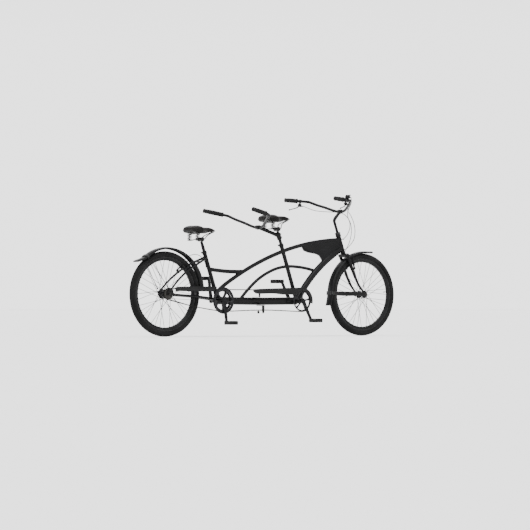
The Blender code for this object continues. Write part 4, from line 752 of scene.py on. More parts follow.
# ---------------------------------------------------------------- drive train
PITCH = 0.0127
RING_TEETH, COG_TEETH = 42, 22
RING_R = PITCH / (2 * math.sin(math.pi / RING_TEETH))
COG_R = PITCH / (2 * math.sin(math.pi / COG_TEETH))
RING_HALF = 0.0010  # half thickness of a toothed ring
DRIVE_Y, TIMING_Y, DISC_Y = -0.0535, -0.0685, -0.0757
CRANK_LENGTH, CRANK_Y = 0.175, 0.085
CRANK_TURN = {"rear": math.radians(7.7), "front": math.radians(28.0)}


def toothed(centre, teeth, radius, inner, y):
    """A flat ring with round-bottomed teeth, each tooth thinner at its tip."""
    steps, half = 10, RING_HALF
    turn = np.arange(teeth * steps) * 2 * math.pi / (teeth * steps)
    wave = np.cos(teeth * turn)
    outer = radius - 0.0012 + 0.0022 * np.clip(wave * 1.25, -1, 0.95) - 0.0018 * (wave < -0.35)
    rings = []
    for a, r in zip(turn, outer):
        out = ray(a)
        thin = half * (0.45 if r > radius - 0.0002 else 0.9)
        section = [(inner, y - half), (radius - 0.0050, y - half), (r, y - thin), (r, y + thin),
                   (radius - 0.0050, y + half), (inner, y + half)]
        rings.append([centre + out * rr + LEFT * yy for rr, yy in section])
    return ring_shell(rings, True)


def crank_arm(end, side, sign):
    """A forged arm, rounded along its edges, with a groove down its face, its boss and the pedal's pin."""
    turn = CRANK_TURN[end] + (0 if side == "right" else math.pi)
    down = np.array((math.sin(turn), 0, -math.cos(turn)))
    across = np.array((down[2], 0, -down[0]))
    centre, out = BRACKET[end], LEFT * sign
    rows = curve([(-0.020, 0.008), (-0.014, 0.0150), (-0.004, 0.0185), (0.012, 0.0178), (0.040, 0.0150),
                  (0.100, 0.0125), (0.150, 0.0112), (0.166, 0.0128), (0.178, 0.0128), (0.188, 0.0070)], 5)
    rings = []
    for t, half in rows:
        groove = 0.0018 * float(np.clip(min(t - 0.028, 0.150 - t) / 0.008, 0, 1))
        section = [(-1.0, -0.0035), (-0.86, -0.0066), (0.86, -0.0066), (1.0, -0.0035), (1.0, 0.0035),
                   (0.84, 0.0066), (0.50, 0.0069),
                   (0.40, 0.0069 - groove), (-0.40, 0.0069 - groove), (-0.50, 0.0069), (-0.84, 0.0066),
                   (-1.0, 0.0035)]
        rings.append([centre + down * t + across * half * a + out * (CRANK_Y + b) for a, b in section])
    tip = centre + down * CRANK_LENGTH
    face = CRANK_Y + 0.007
    bolt = [(0.0001, 0), (0.0105, 0), (0.0105, 0.0012), (0.0090, 0.0028), (0.0055, 0.0034), (0.0001, 0.0034)]
    shells = [
        ring_shell(rings),
        rod(tip + out * (face - 0.002), tip + out * 0.1855, 0.0049),
        rod(tip + out * (face - 0.002), tip + out * (face + 0.0035), 0.0083, 24),
        lathe(bolt, centre + out * (face - 0.0004), out, 32),
    ]
    shells += hexagon(tip + out * (face + 0.0030), out, 0.0074, 0.0022)
    return shells, down


def spider_arm(centre, turn, rows, low, high, bevel):
    """A flat arm through rows of (radius, half width)."""
    out, side = ray(turn), np.array((-math.sin(turn), 0, math.cos(turn)))
    edge = [(r, -w) for r, w in rows] + [*reversed(rows)]
    return slab([centre + out * r + side * w for r, w in edge], low, high, bevel=bevel)


def cranks(end):
    """Both cranks of one bracket: the right one carries the chain rings and the rear one's guard disc."""
    centre, body = BRACKET[end], f"{end}_crank"
    shells, down = crank_arm(end, "right", -1)
    turns = [2 * math.pi * k / 5 + math.atan2(down[2], down[0]) for k in range(5)]
    shells.append(rod(centre - LEFT * (SHELL_HALF + 0.0035), centre - LEFT * CRANK_Y, 0.0163, 32))
    planes = [TIMING_Y] + ([DRIVE_Y] if end == "rear" else [])
    for y in planes:
        shells.append(toothed(centre, RING_TEETH, RING_R, 0.0710, y))
        rows = [(0.013, 0.0085), (0.050, 0.0062), (0.0745, 0.0105)]
        shells += [spider_arm(centre, turn, rows, y - 0.0011, y + 0.0011, 0.0004) for turn in turns]
    for turn in turns:
        spot = centre + ray(turn) * 0.0720
        first = min(planes) - 0.0010
        shells.append(rod(spot + LEFT * (max(planes) + 0.0026), spot + LEFT * first, 0.0034, 12))
        shells.append(socket_bolt(spot + LEFT * (first + 0.0004), -LEFT, 0.0052, 0.0020))
    if end == "rear":
        rim = [(0.0790, DISC_Y - 0.0007), (0.1010, DISC_Y - 0.0007), (0.1034, DISC_Y - 0.0004),
               (0.1040, DISC_Y + 0.0002),
               (0.1030, DISC_Y + 0.0008), (0.0790, DISC_Y + 0.0008)]
        shells.append(lathe(rim, centre, LEFT, 96))
        rows = [(0.0660, 0.0090), (0.0800, 0.0150)]
        shells += [spider_arm(centre, turn, rows, DISC_Y - 0.0006, DISC_Y + 0.0007, 0.0003)
                   for turn in turns]
    dress(build(f"{end}_crankset_right", shells), "alloy", "crank_alloy", body, f"{end}_crank_right",
          angle=32)
    shells, _ = crank_arm(end, "left", 1)
    shells.append(rod(centre - LEFT * (SHELL_HALF + 0.003), centre + LEFT * CRANK_Y, 0.0078))
    shells.append(rod(centre + LEFT * (SHELL_HALF + 0.0035), centre + LEFT * CRANK_Y, 0.0143, 32))
    dress(build(f"{end}_crankset_left", shells), "alloy", "crank_alloy", body, f"{end}_crank_left", angle=32)


def pedal(end, side, sign):
    """A cruiser pedal: barrel, end plates with their bolts, and two ribbed rubber blocks."""
    tip = at(f"{end}_pedal_{side}_spin")
    name, body = f"{end}_pedal_{side}", f"{end}_pedal_{side[0]}"
    near, far = 0.0978, 0.1862
    metal = [lathe([(0.0064, near), (0.0100, near), (0.0100, near + 0.006), (0.0088, near + 0.012),
                    (0.0088, far - 0.012),
                    (0.0100, far - 0.006), (0.0100, far), (0.0064, far)], tip, LEFT * sign, 28)]
    for y in (near, far - 0.0030):
        shape = curve([(-0.0310, -0.0060), (-0.0300, 0.0080), (0.0, 0.0112), (0.0300, 0.0080),
                       (0.0310, -0.0060),
                       (0.0, -0.0112)], 4)
        outline = [tip + np.array((a, 0, b)) for a, b in shape]
        metal.append(slab(outline, *sorted((sign * y, sign * (y + 0.0030))), bevel=0.0008))
        for a in (-0.0250, 0.0250):
            way = LEFT * sign * (1 if y > 0.14 else -1)
            spot = tip + np.array((a, sign * (y + (0.0028 if y > 0.14 else 0.0002)), 0))
            metal += hexagon(spot - way * 0.0002, way, 0.0036, 0.0020)
    rubber_blocks = []
    for a in (-1, 1):
        rings = []
        for y in np.linspace(near + 0.0042, far - 0.0042, 89):
            rib = 0.0016 if (round((y - near) / 0.0009) % 8) < 3 else 0.0
            section = [(0.0165, 0.0150 - rib), (0.0340, 0.0150 - rib), (0.0376, 0.0075), (0.0380, 0.0),
                       (0.0376, -0.0075), (0.0340, -0.0150 + rib), (0.0165, -0.0150 + rib), (0.0155, 0.0)]
            rings.append([tip + np.array((a * x, sign * y, z)) for x, z in section])
        rubber_blocks.append(ring_shell(rings))
    piece = build(name + "_cage", metal)
    dress(piece, "satin", "pedal_rubber", body, name)
    dress(build(name + "_blocks", rubber_blocks), "grip", "pedal_rubber", body, angle=30)


def belt(rear, rear_r, front, front_r, lower):
    """Points of a chain's loop: round the front ring, over the top, round the rear one, back below."""
    gap = np.array((front[0] - rear[0], front[1] - rear[1]))
    length = np.linalg.norm(gap)
    lean, wrap = math.atan2(gap[1], gap[0]), math.acos((rear_r - front_r) / length)
    points = []
    for centre, r, start, end in ((front, front_r, lean - wrap, lean + wrap),
                                  (rear, rear_r, lean + wrap, lean - wrap + 2 * math.pi)):
        for angle in np.linspace(start, end, 40):
            points.append((centre[0] + r * math.cos(angle), centre[1] + r * math.sin(angle)))
    run = curve([points[-1], *lower, points[0]], 12)
    return np.array(points + [tuple(p) for p in run[1:-1]])


def chain(name, loop, y):
    """Real links: waisted side plates, inner and outer by turns, on rollers and riveted pins."""
    closed = np.vstack([loop, loop[:1]])
    reach = np.concatenate([[0], np.cumsum(np.linalg.norm(np.diff(closed, axis=0), axis=1))])
    count = 2 * round(reach[-1] / PITCH / 2)
    stops = np.arange(count) * reach[-1] / count
    pins = np.stack([np.interp(stops, reach, closed[:, 0]), np.interp(stops, reach, closed[:, 1])], 1)
    shells = []
    for k in range(count):
        here, there = (np.array((p[0], 0, p[1])) for p in (pins[k], pins[(k + 1) % count]))
        along = unit(there - here)
        out = np.array((along[2], 0, -along[0]))
        middle = (here + there) / 2
        step = np.linalg.norm(there - here) / 2
        wide, gap = (0.0042, 0.0026) if k % 2 else (0.0040, 0.0016)
        outline = [middle + out * 0.0029, middle - out * 0.0029]
        for t in (-1, 1):
            for a in np.radians(np.linspace(-105, 105, 9)):
                outline.append(middle + along * t * (step + math.cos(a) * wide) + out * math.sin(a) * wide)
        outline = ordered(outline, middle, along, out)
        for side in (-1, 1):
            low, high = sorted((y + side * gap, y + side * (gap + 0.0008)))
            shells.append(slab(outline, low, high, bevel=0.0002))
        shells.append(rod(here + LEFT * (y - 0.0035), here + LEFT * (y + 0.0035), 0.0016, 8, 0.0003))
        shells.append(rod(here + LEFT * (y - 0.0015), here + LEFT * (y + 0.0015), 0.0024, 10, 0.0001))
    dress(build(name + "_links", shells), "chain", "chain_steel", "frame", name, angle=35)


def ordered(outline, middle, along, out):
    """The outline's points in order round its middle."""
    turns = [math.atan2((p - middle).dot(out), (p - middle).dot(along)) for p in outline]
    return [p for _, _, p in sorted(zip(turns, range(len(outline)), outline), key=lambda row: row[:2])]


def chains():
    """Both chains round their rings, and the sprocket on the rear hub."""
    def level(point):
        return (point[0] - HUB["rear"][0], point[2])

    rear, front, hub = level(BRACKET["rear"]), level(BRACKET["front"]), level(HUB["rear"])
    for name, loop, y in (("timing_chain", belt(rear, RING_R, front, RING_R, [(0.917, 0.2055)]), TIMING_Y),
                          ("drive_chain", belt(hub, COG_R, rear, RING_R, [(0.250, 0.2330)]), DRIVE_Y)):
        chain(name, loop + np.array((HUB["rear"][0], 0.0)), y)
    cog = [toothed(HUB["rear"], COG_TEETH, COG_R, 0.0175, DRIVE_Y),
           lathe([(0.0066, -0.0578), (0.0178, -0.0578), (0.0178, -0.0378), (0.0066, -0.0378)], HUB["rear"],
                 LEFT, 40),
           lathe([(0.0170, -0.0580), (0.0215, -0.0570), (0.0215, -0.0545), (0.0170, -0.0545)], HUB["rear"],
                 LEFT, 40)]
    dress(build("rear_sprocket_cog", cog), "steel", "sprocket_steel", "sprocket", "rear_sprocket", angle=32)


def guards():
    """The two pressed chain guards, each with a raised bead and its brackets."""
    centre = BRACKET["front"]

    def ring(radius, *degrees):
        return [polar(centre, radius, a) for a in degrees]

    top = list(flat(*curve([(0.805, 0.368), (0.850, 0.371), (1.000, 0.376), (1.200, 0.3815)], 5)))
    under = list(flat(*curve([(1.100, 0.3265), (1.000, 0.335), (0.850, 0.333), (0.807, 0.350)], 5)))
    outline = top + ring(0.106, *np.linspace(92, -12, 34)) + ring(0.079, *np.linspace(-12, 142, 48)) + under
    shells = [slab(outline, -0.0761, -0.0747, bevel=0.0005)]
    bead = curve([p + LEFT * -0.0760 for p in [*flat((0.822, 0.362), (0.900, 0.366), (1.050, 0.3705),
                                                     (1.200, 0.3755)),
                                               *ring(0.1000, 84, 60, 36, 12, -6)]], 6)
    shells.append(tube(bead, 0.0011, 10, UP))
    shells.append(slab(flat((0.861, 0.3064), (0.879, 0.3064), (0.879, 0.3090), (0.861, 0.3090)), -0.0755,
                       0.010, bevel=0.0004))
    shells.append(slab(flat((0.861, 0.3064), (0.879, 0.3064), (0.879, 0.3450), (0.861, 0.3450)), -0.0748,
                       -0.0732))
    for z in (0.3260, 0.3395):
        shells.append(socket_bolt(place(0.870, -0.0756, z), -LEFT, 0.0032, 0.0005))
    dress(build("front_guard_pressed", shells), "satin", "guard_paint", "frame", "front_chain_guard")
    corner = curve([(0.066, 0.352), (0.058, 0.360), (0.072, 0.384), (0.120, 0.3875), (0.300, 0.3888),
                    (0.452, 0.3872), (0.4598, 0.3800), (0.4598, 0.3560),
                    (0.4540, 0.3502)], 5)
    under = [(0.262, 0.350), (0.262, 0.3230), (0.240, 0.3230), (0.240, 0.350)]
    shells = [slab(flat(*corner, *under), -0.0617, -0.0603, bevel=0.0005)]
    bead = places([(s, -0.0614, z) for s, z in curve([(0.085, 0.376), (0.200, 0.381), (0.330, 0.3812),
                                                      (0.445, 0.379)], 6)])
    shells.append(tube(bead, 0.0011, 10, UP))
    shells.append(slab(flat((0.240, 0.3230), (0.262, 0.3230), (0.262, 0.3255), (0.240, 0.3255)), -0.0610,
                       -0.0440, bevel=0.0004))
    dress(build("rear_guard_pressed", shells), "satin", "guard_paint", "frame", "rear_chain_guard")


def tensioner():
    """The bracket below the boom and its idler.

    A known fault: the idler and its pin stand at y 0, and their CAD node at TIMING_Y.
    """
    idler, plate_y = at("idler_spin"), TIMING_Y + 0.0060
    outline = curve([(0.904, 0.2440), (0.904, 0.205), (0.909, 0.184), (0.917, 0.179), (0.925, 0.184),
                     (0.930, 0.205),
                     (0.930, 0.2440)], 4)
    shells = [slab(flat(*outline), plate_y - 0.0005, plate_y + 0.0025),
              slab(flat((0.906, 0.2385), (0.928, 0.2385), (0.928, 0.2440), (0.906, 0.2440)), plate_y, 0.012),
              rod(idler + LEFT * 0.0060, idler - LEFT * 0.0060, 0.0040)]
    shells += hexagon(idler - LEFT * 0.0045, -LEFT, 0.0058, 0.0022)
    dress(build("tensioner_arm", shells), "satin", "guard_paint", "frame", "tensioner_bracket")
    steps, teeth = 96, 8
    rings = []
    for a in np.arange(steps) * 2 * math.pi / steps:
        out = ray(a)
        edge = 0.0112 + 0.0007 * math.cos(teeth * a)
        section = [(0.0052, -0.0035), (0.0084, -0.0035), (0.0086, -0.0025), (edge, -0.0020), (edge, 0.0020),
                   (0.0086, 0.0025), (0.0084, 0.0035), (0.0052, 0.0035)]
        rings.append([idler + out * r + LEFT * t for r, t in section])
    dress(build("idler_wheel", [ring_shell(rings, True)]), "plastic", "idler_nylon", "idler", "idler_pulley")


# ---------------------------------------------------------------- saddles
# Where the cover's back end stands (s, z), its tilt in degrees and the top of its post
SADDLES = {"rear": (0.226, 0.819, 1.5, 0.738), "front": (0.965, 0.914, 0.0, 0.827)}
SADDLE_STATIONS = (  # along from the back, top, underside, half width
    (0.000, 0.024, 0.008, 0.054), (0.012, 0.033, -0.005, 0.086), (0.035, 0.041, -0.013, 0.103),
    (0.070, 0.038, -0.016, 0.105), (0.105, 0.031, -0.017, 0.084), (0.140, 0.0285, -0.015, 0.055),
    (0.180, 0.0285, -0.006, 0.0365), (0.225, 0.0255, 0.001, 0.0295), (0.247, 0.019, 0.002, 0.0235),
    (0.257, 0.010, 0.003, 0.012),
)
SADDLE_SECTION = ((0.86, None), (0.97, -0.12), (1.0, 0.10), (0.985, 0.34), (0.93, 0.60), (0.80, 0.82),
                  (0.62, 0.94), (0.40, 0.985), (0.18, 0.985),
                  (0.0, 0.965))
SPRING_ALONG, SPRING_Y = 0.055, 0.052
SWELL = 0.0045  # how far the pad may rise as it fills


def saddle_ring(top, under, half):
    """Half of the pad's section, from its lower edge to the shallow channel along its middle."""
    edge = under + 0.30 * (top - under)
    ring = []
    for across, rise in SADDLE_SECTION:
        height = under if rise is None else edge + (top - edge) * rise
        ring.append((half * across, height))
    return ring


def saddle_pad():
    """The padded cover in the saddle's own frame, filled by pressure and held at its lower edge."""
    rings = []
    for along, top, under, half in curve(SADDLE_STATIONS, 4):
        right = saddle_ring(top, under, half)
        rings.append([(along, y, h) for y, h in mirrored(right)])
    pad = build("saddle_pad", [ring_shell(rings)])
    bake(pad, REMESH={"mode": "VOXEL", "voxel_size": 0.0042}, SMOOTH={"factor": 0.5, "iterations": 3})
    rest = np.array([v.co for v in pad.data.vertices])
    cloth = pad.modifiers.new("fill", "CLOTH").settings
    cloth.use_pressure = True
    cloth.uniform_pressure_force = 4.0
    cloth.effector_weights.gravity = 0.0
    cloth.tension_stiffness = cloth.compression_stiffness = 40.0
    scene = bpy.context.scene
    for step in range(1, 19):
        scene.frame_set(step)
    bake(pad)
    scene.frame_set(1)
    moved = np.array([v.co for v in pad.data.vertices]) - rest
    length = np.linalg.norm(moved, axis=1, keepdims=True) + 1e-9
    lift = np.clip((rest[:, 2:3] - 0.004) / 0.014, 0, 1)
    shape = rest + moved * np.minimum(1, SWELL / length) * lift
    for low, high, column in ((0.0, 0.2580, 0), (-0.108, 0.108, 1)):
        shape[:, column] = np.clip(shape[:, column], low, high)
    shape[:, 2] -= sink(shape)
    pad.data.vertices.foreach_set("co", shape.astype(np.float32).ravel())
    pad.data.update()
    return bake(pad, SUBSURF={"levels": 1, "render_levels": 1})


def sink(shape):
    """Depth of the sewn channels: one down the middle, two that sweep round the seat's wings."""
    along, across, height = shape.T
    upper = np.clip((height - 0.010) / 0.010, 0, 1)
    middle = 0.0030 * np.exp(-(across / 0.0070) ** 2) * np.clip((along - 0.045) / 0.03, 0, 1)
    middle *= np.clip((0.235 - along) / 0.02, 0, 1)
    wing = 0.030 + 0.052 * np.exp(-(((along - 0.055) / 0.055) ** 2)) - 0.10 * np.clip(along - 0.15, 0, 1)
    sweep = np.abs(across) - wing
    seam = 0.0013 * np.exp(-(sweep / 0.0017) ** 2) * np.clip((0.225 - along) / 0.02, 0, 1)
    return (middle + seam) * upper


def helix(low, high, radius, turns):
    """A coil spring's middle line, with a flat turn's share at each end."""
    way = unit(high - low)
    cross = unit(np.cross(way, LEFT))
    other = np.cross(way, cross)
    share = np.linspace(0, 1, int(turns * 22))
    rise = np.clip((share * turns - 0.6) / (turns - 1.2), 0, 1)
    turn = share * turns * 2 * math.pi
    middle = low + np.outer(rise, high - low)
    return middle + np.outer(np.cos(turn) * radius, cross) + np.outer(np.sin(turn) * radius, other)


def saddles():
    """Both saddles: a padded cover with a piped edge on rails and springs."""
    pad = saddle_pad()
    for end, (start_s, base_z, tilt_deg, post_z) in SADDLES.items():
        tilt = math.radians(tilt_deg)

        def spot(along, y, height):
            s = start_s + along * math.cos(tilt) + height * math.sin(tilt)
            return place(s, y, base_z - along * math.sin(tilt) + height * math.cos(tilt))

        cover = link(f"{end}_saddle_cover", pad.data.copy())
        turn = Matrix.Rotation(tilt, 4, "Y")
        turn.translation = Vector(place(start_s, 0, base_z))
        cover.data.transform(turn)
        dress(cover, "vinyl", "saddle_cover", "frame", f"{end}_saddle", angle=0)
        edge = []
        for along, top, under, half in curve(SADDLE_STATIONS[1:-1], 5):
            edge.append((along, half * 0.985, under + 0.22 * (top - under)))
        nose = [(0.2550, 0.0, 0.0080)]
        tail = [(0.0020, 0.050, 0.0135), (-0.0002, 0.0, 0.0140)]
        line = [*reversed(tail), *edge[::2], *nose]
        line += [(a, -y, h) for a, y, h in reversed(line[1:-1])]
        welt = tube([spot(*p) for p in line], 0.0013, 8, UP, loop=True)
        dress(build(f"{end}_saddle_welt", [welt]), "grip", "saddle_cover", "frame")
        rails_and_springs(end, spot, on_seat(end, post_z) + SEAT_AXIS * 0.0182)
    bpy.data.objects.remove(pad)


def rails_and_springs(end, spot, clamp):
    level = clamp - np.array((HUB["rear"][0], 0, 0))
    shells = []
    for sign in (1, -1):
        line = [spot(0.236, sign * 0.007, -0.0035), spot(0.212, sign * 0.012, -0.0120),
                spot(0.170, sign * 0.020, -0.0330),
                place(level[0] + 0.020, sign * 0.0225, level[2] + 0.004),
                place(level[0] - 0.020, sign * 0.0250, level[2] + 0.002),
                spot(SPRING_ALONG + 0.010, sign * 0.038, -0.0700),
                spot(SPRING_ALONG, sign * SPRING_Y, -0.0720)]
        shells.append(tube(curve(line, 8), 0.0036, 14))
        stand = SPRING_ALONG, sign * SPRING_Y
        low, high = spot(*stand, -0.0705), spot(*stand, -0.0215)
        shells.append(tube(helix(low, high, 0.0160, 5.5), 0.0023, 10))
        for foot, way in ((spot(*stand, -0.0740), UP), (spot(*stand, -0.0185), -UP)):
            cap = [(0.0001, 0), (0.0185, 0), (0.0185, 0.0008), (0.0125, 0.0014), (0.0110, 0.0045),
                   (0.0001, 0.0045)]
            shells.append(lathe(cap, foot, way, 32))
        shells.append(rod(low, high, 0.0030, 12))
    shells.append(rod(spot(0.240, -0.012, -0.0035), spot(0.240, 0.012, -0.0035), 0.0034))
    shells.append(tube([spot(0.222, 0, -0.004), spot(0.244, 0, -0.0025)], 0.0040, 14))
    shells.append(rod(spot(SPRING_ALONG, -0.055, -0.0215), spot(SPRING_ALONG, 0.055, -0.0215), 0.0028))
    shells.append(rod(clamp - LEFT * 0.0190, clamp + LEFT * 0.0190, 0.0160, 32, 0.001))
    for sign in (1, -1):
        start = clamp + LEFT * sign * 0.0185
        ear = [(0.0001, 0), (0.0175, 0), (0.0175, 0.0070), (0.0150, 0.0090), (0.0001, 0.0090)]
        shells.append(lathe(ear, start, LEFT * sign, 32))
        shells += hexagon(start + LEFT * sign * 0.0080, LEFT * sign, 0.0066, 0.0035)
    dress(build(f"{end}_saddle_underframe", shells), "satin", "rail_steel", "frame", f"{end}_saddle_rails")


POST_FOOT = {"rear": 0.570, "front": 0.634}


def seat_posts():
    for end, low in POST_FOOT.items():
        bottom, top = on_seat(end, low), on_seat(end, SADDLES[end][3])
        path = [bottom, top - SEAT_AXIS * 0.030, top - SEAT_AXIS * 0.024, top - SEAT_AXIS * 0.0005, top]
        shells = [tube(path, [0.0127, 0.0127, 0.0110, 0.0110, 0.0104], 32)]
        dress(build(f"{end}_seatpost_tube", shells), "paint", "post_steel", "frame", f"{end}_seatpost")


# ---------------------------------------------------------------- bars and stems
BAR_RADIUS = 0.0111
BAR_PATH = ((0.0, 0.0, 0.0), (0.0, 0.030, 0.0), (-0.007, 0.070, 0.008), (-0.037, 0.140, 0.033),
            (-0.070, 0.200, 0.053),
            (-0.098, 0.245, 0.0720))
GRIP_LINE = ((-0.125, 0.2691, 0.0812), (-0.305, 0.3180, 0.0930))
# Middle of the bar's clamp (s, z), the bar's tilt in degrees and where its grips begin
CLAMPS = {"": ((1.742, 0.992), 0.0, 0.083), "stoker_": ((0.912, 0.856), 7.3, 0.025)}


def bar_spot(clamp, tilt, local, sign=1):
    x, y, z = local
    turn = math.radians(tilt)
    s = clamp[0] + x * math.cos(turn) + z * math.sin(turn)
    return place(s, sign * y, clamp[1] - x * math.sin(turn) + z * math.cos(turn))


def grip_line(clamp, tilt, sign):
    start, end = (bar_spot(clamp, tilt, p, sign) for p in GRIP_LINE)
    return start, unit(end - start), np.linalg.norm(end - start)


def bars_and_grips():
    """Both swept-back bars, knurled at the clamp, and their ribbed grips."""
    for prefix, (clamp, tilt, begin) in CLAMPS.items():
        body = "frame" if prefix else "steering"
        half = [bar_spot(clamp, tilt, p) for p in curve([*BAR_PATH, *GRIP_LINE], 7)]
        left = [*reversed(half[1:])]
        line = left + [half[0]] + [p * (1, -1, 1) for p in reversed(left)]
        bar = [tube(line, BAR_RADIUS, 24, UP)]
        for t in np.linspace(-0.017, 0.017, 18):
            bar.append(lathe([(BAR_RADIUS - 0.0002, t), (BAR_RADIUS + 0.0003, t + 0.0004),
                              (BAR_RADIUS - 0.0002, t + 0.0008)],
                             half[0], LEFT, 32))
        dress(build(prefix + "handlebar_bent", bar), "paint", "bar_steel", body, prefix + "handlebar")
        for side, sign in SIDES:
            start, along, length = grip_line(clamp, tilt, sign)
            skin, core = 0.0165, BAR_RADIUS + 0.0006
            profile = [(core, begin), (0.0192, begin), (0.0200, begin + 0.0012), (0.0200, begin + 0.0040),
                       (0.0180, begin + 0.0062), (skin, begin + 0.0085)]
            count = int((length - begin - 0.022) / 0.0062)
            for k in range(count):
                t = begin + 0.0105 + k * 0.0062
                swell = 0.0011 * math.sin(math.pi * (k + 0.5) / count)
                for shift, lift in ((0.0, 0.0), (0.0008, 0.0012), (0.0034, 0.0012), (0.0042, 0.0)):
                    profile.append((skin - 0.0004 + swell + lift - 0.0002, t + shift))
            profile += [(skin, length - 0.0050), (0.0178, length - 0.0020), (0.0178, length + 0.0028),
                        (0.0150, length + 0.0052), (0.0060, length + 0.0060), (0.0040, length + 0.0048),
                        (0.0001, length + 0.0046), (0.0001, length + 0.0012), (core, length + 0.0010)]
            grip = build(f"{prefix}grip_{side}_ribbed", [lathe(profile, start, along, 48)])
            dress(grip, "grip", "grip_rubber", body, f"{prefix}grip_{side}", angle=30)


def collar(centre, way, half, radius, lip=0.001, ease=0.001, sides=36):
    """A ring round the bar, its outer edges eased."""
    core = BAR_RADIUS + 0.0002
    profile = [(core, half), (radius - lip, half), (radius, half - ease)]
    return lathe([(r, -t) for r, t in profile] + profile[::-1], centre, way, sides)


def stems():
    clamp = CLAMPS[""][0]
    line = [on_head(0.735), on_head(0.80), on_head(0.892), place(1.6835, 0, 0.9150),
            place(1.6900, 0, 0.9330),
            place(1.7080, 0, 0.9540), place(clamp[0] - 0.002, 0, clamp[1] - 0.004)]
    radii = [(0.0111, 0.0111)] * 3 + [(0.0120, 0.0125), (0.0125, 0.0135), (0.0125, 0.0130), (0.0120, 0.0120)]
    rows = curve(np.hstack([line, radii]), 8)
    centre = place(clamp[0], 0, clamp[1])
    shells = [tube(rows[:, :3], rows[:, 3:], 28), collar(centre, LEFT, 0.021, 0.0165, 0.0008, 0.0015, 40)]
    dress(build("stem_forged", shells), "paint", "stem_alloy", "steering", "stem")
    bolts = [socket_bolt(on_head(0.892) + HEAD_AXIS * 0.011, HEAD_AXIS, 0.0078, 0.0050),
             socket_bolt(centre - UP * 0.0162 + np.array((0.002, 0, 0)), -UP, 0.0052, 0.0040)]
    dress(build("stem_bolts", bolts), "steel", "stem_alloy", "steering")
    clamp = CLAMPS["stoker_"][0]
    centre = place(clamp[0], 0, clamp[1])
    low, high = on_seat("front", 0.763), on_seat("front", 0.812)
    reach = curve([(1.122, 0, 0.789, 0.0155), (1.060, 0, 0.8105, 0.0142), (1.000, 0, 0.829, 0.0140),
                   (0.914, 0, 0.8555, 0.0138)], 6)
    sleeve = [(0.0129, 0), (0.0184, 0), (0.0190, 0.0010), (0.0190, 0.0510), (0.0184, 0.0520),
              (0.0129, 0.0520)]
    shells = [lathe(sleeve, low, unit(high - low), 40),
              collar(centre, LEFT, 0.022, 0.0170, 0.0008, 0.0015, 40),
              tube(places(reach), reach[:, 3], 28)]
    dress(build("stoker_stem_forged", shells), "paint", "stem_alloy", "frame", "stoker_stem")
    bolts = []
    for share in (0.25, 0.75):
        spot = low + (high - low) * share + np.array((0.0180, 0, 0.0060))
        bolts += [rod(spot - LEFT * 0.0095, spot + LEFT * 0.0095, 0.0046, 16, 0.001),
                  socket_bolt(spot - LEFT * 0.0090, -LEFT, 0.0040, 0.0030)]
    bolts.append(socket_bolt(centre - UP * 0.0167, -UP, 0.0052, 0.0040))
    dress(build("stoker_stem_bolts", bolts), "steel", "stem_alloy", "frame")


def headset():
    high = on_head(HEAD_HIGH)
    cup = [(0.0150, 0.0003), (0.0188, 0.0003), (0.0208, 0.0020), (0.0225, 0.0060), (0.0225, 0.0150),
           (0.0215, 0.0165), (0.0200, 0.0180), (0.0200, 0.0240),
           (0.0150, 0.0240)]
    shells = [lathe(cup, high, HEAD_AXIS, 64)]
    nut = high + HEAD_AXIS * 0.0245
    shells.append(tube([nut, nut + HEAD_AXIS * 0.0105, nut + HEAD_AXIS * 0.0115], [0.0222, 0.0222, 0.0205],
                       8))
    dress(build("headset_cups", shells), "satin", "headset_steel", "frame", "headset_upper")


def fork():
    crown = on_head(0.6515)
    ahead = np.cross(LEFT, HEAD_AXIS)
    outline = [(-0.0535, -0.013), (-0.0560, 0.0), (-0.0500, 0.010), (-0.030, 0.012), (0.030, 0.012),
               (0.0500, 0.010), (0.0560, 0.0),
               (0.0535, -0.013)]
    rings = []
    for depth, slim in ((-0.0170, 0.92), (-0.0145, 0.98), (-0.010, 1.0), (0.010, 1.0), (0.0145, 0.98),
                        (0.0170, 0.92)):
        rings.append([crown + LEFT * a * slim + HEAD_AXIS * (b * slim - 0.0085) + ahead * depth
                      for a, b in outline])
    race = crown + HEAD_AXIS * 0.0035
    shells = [ring_shell(rings), rod(on_head(0.640), on_head(0.8255), 0.0127, 28),
              rod(race - HEAD_AXIS * 0.006, race + HEAD_AXIS * 0.0035, 0.0195, 32)]
    line = [(1.7790, 0.0470, 0.650, 0.0110, 0.0135), (1.7950, 0.0475, 0.612, 0.0110, 0.0140),
            (1.8350, 0.0490, 0.517, 0.0105, 0.0135), (1.8620, 0.0505, 0.460, 0.0095, 0.0120),
            (1.8880, 0.0515, 0.413, 0.0085, 0.0100), (1.9270, 0.0522, 0.366, 0.0075, 0.0085),
            (1.9540, 0.0525, 0.343, 0.0055, 0.0070)]
    for side, sign in SIDES:
        rows = curve([(s, sign * y, z, a, b) for s, y, z, a, b in line], 6)
        shells.append(tube(places(rows), rows[:, 3:], 24))
        shells.append(dropout(sign, 0.0500, 0.0550, (1.938, 0.352), (1.950, 0.332), (1.956, 0.318),
                              (1.974, 0.318), (1.978, 0.334), (1.960, 0.356)))
        shells += brake_boss("front", side, 0.024)
    dress(weld("fork_welded", shells, 0.0018, 4), "paint", "frame_paint", "steering", "fork", angle=0)


# ---------------------------------------------------------------- controls
def lever_frame(sign):
    """Where a brake lever clamps, the ways along the bar, down and across, and its pivot."""
    clamp, tilt, _ = CLAMPS[""]
    start, along, _ = grip_line(clamp, tilt, sign)
    drop = np.array((0, sign * 0.26, -0.966))
    drop = unit(drop - along * drop.dot(along))
    ring = start + along * 0.057
    return ring, along, drop, np.cross(along, drop), ring + drop * 0.040


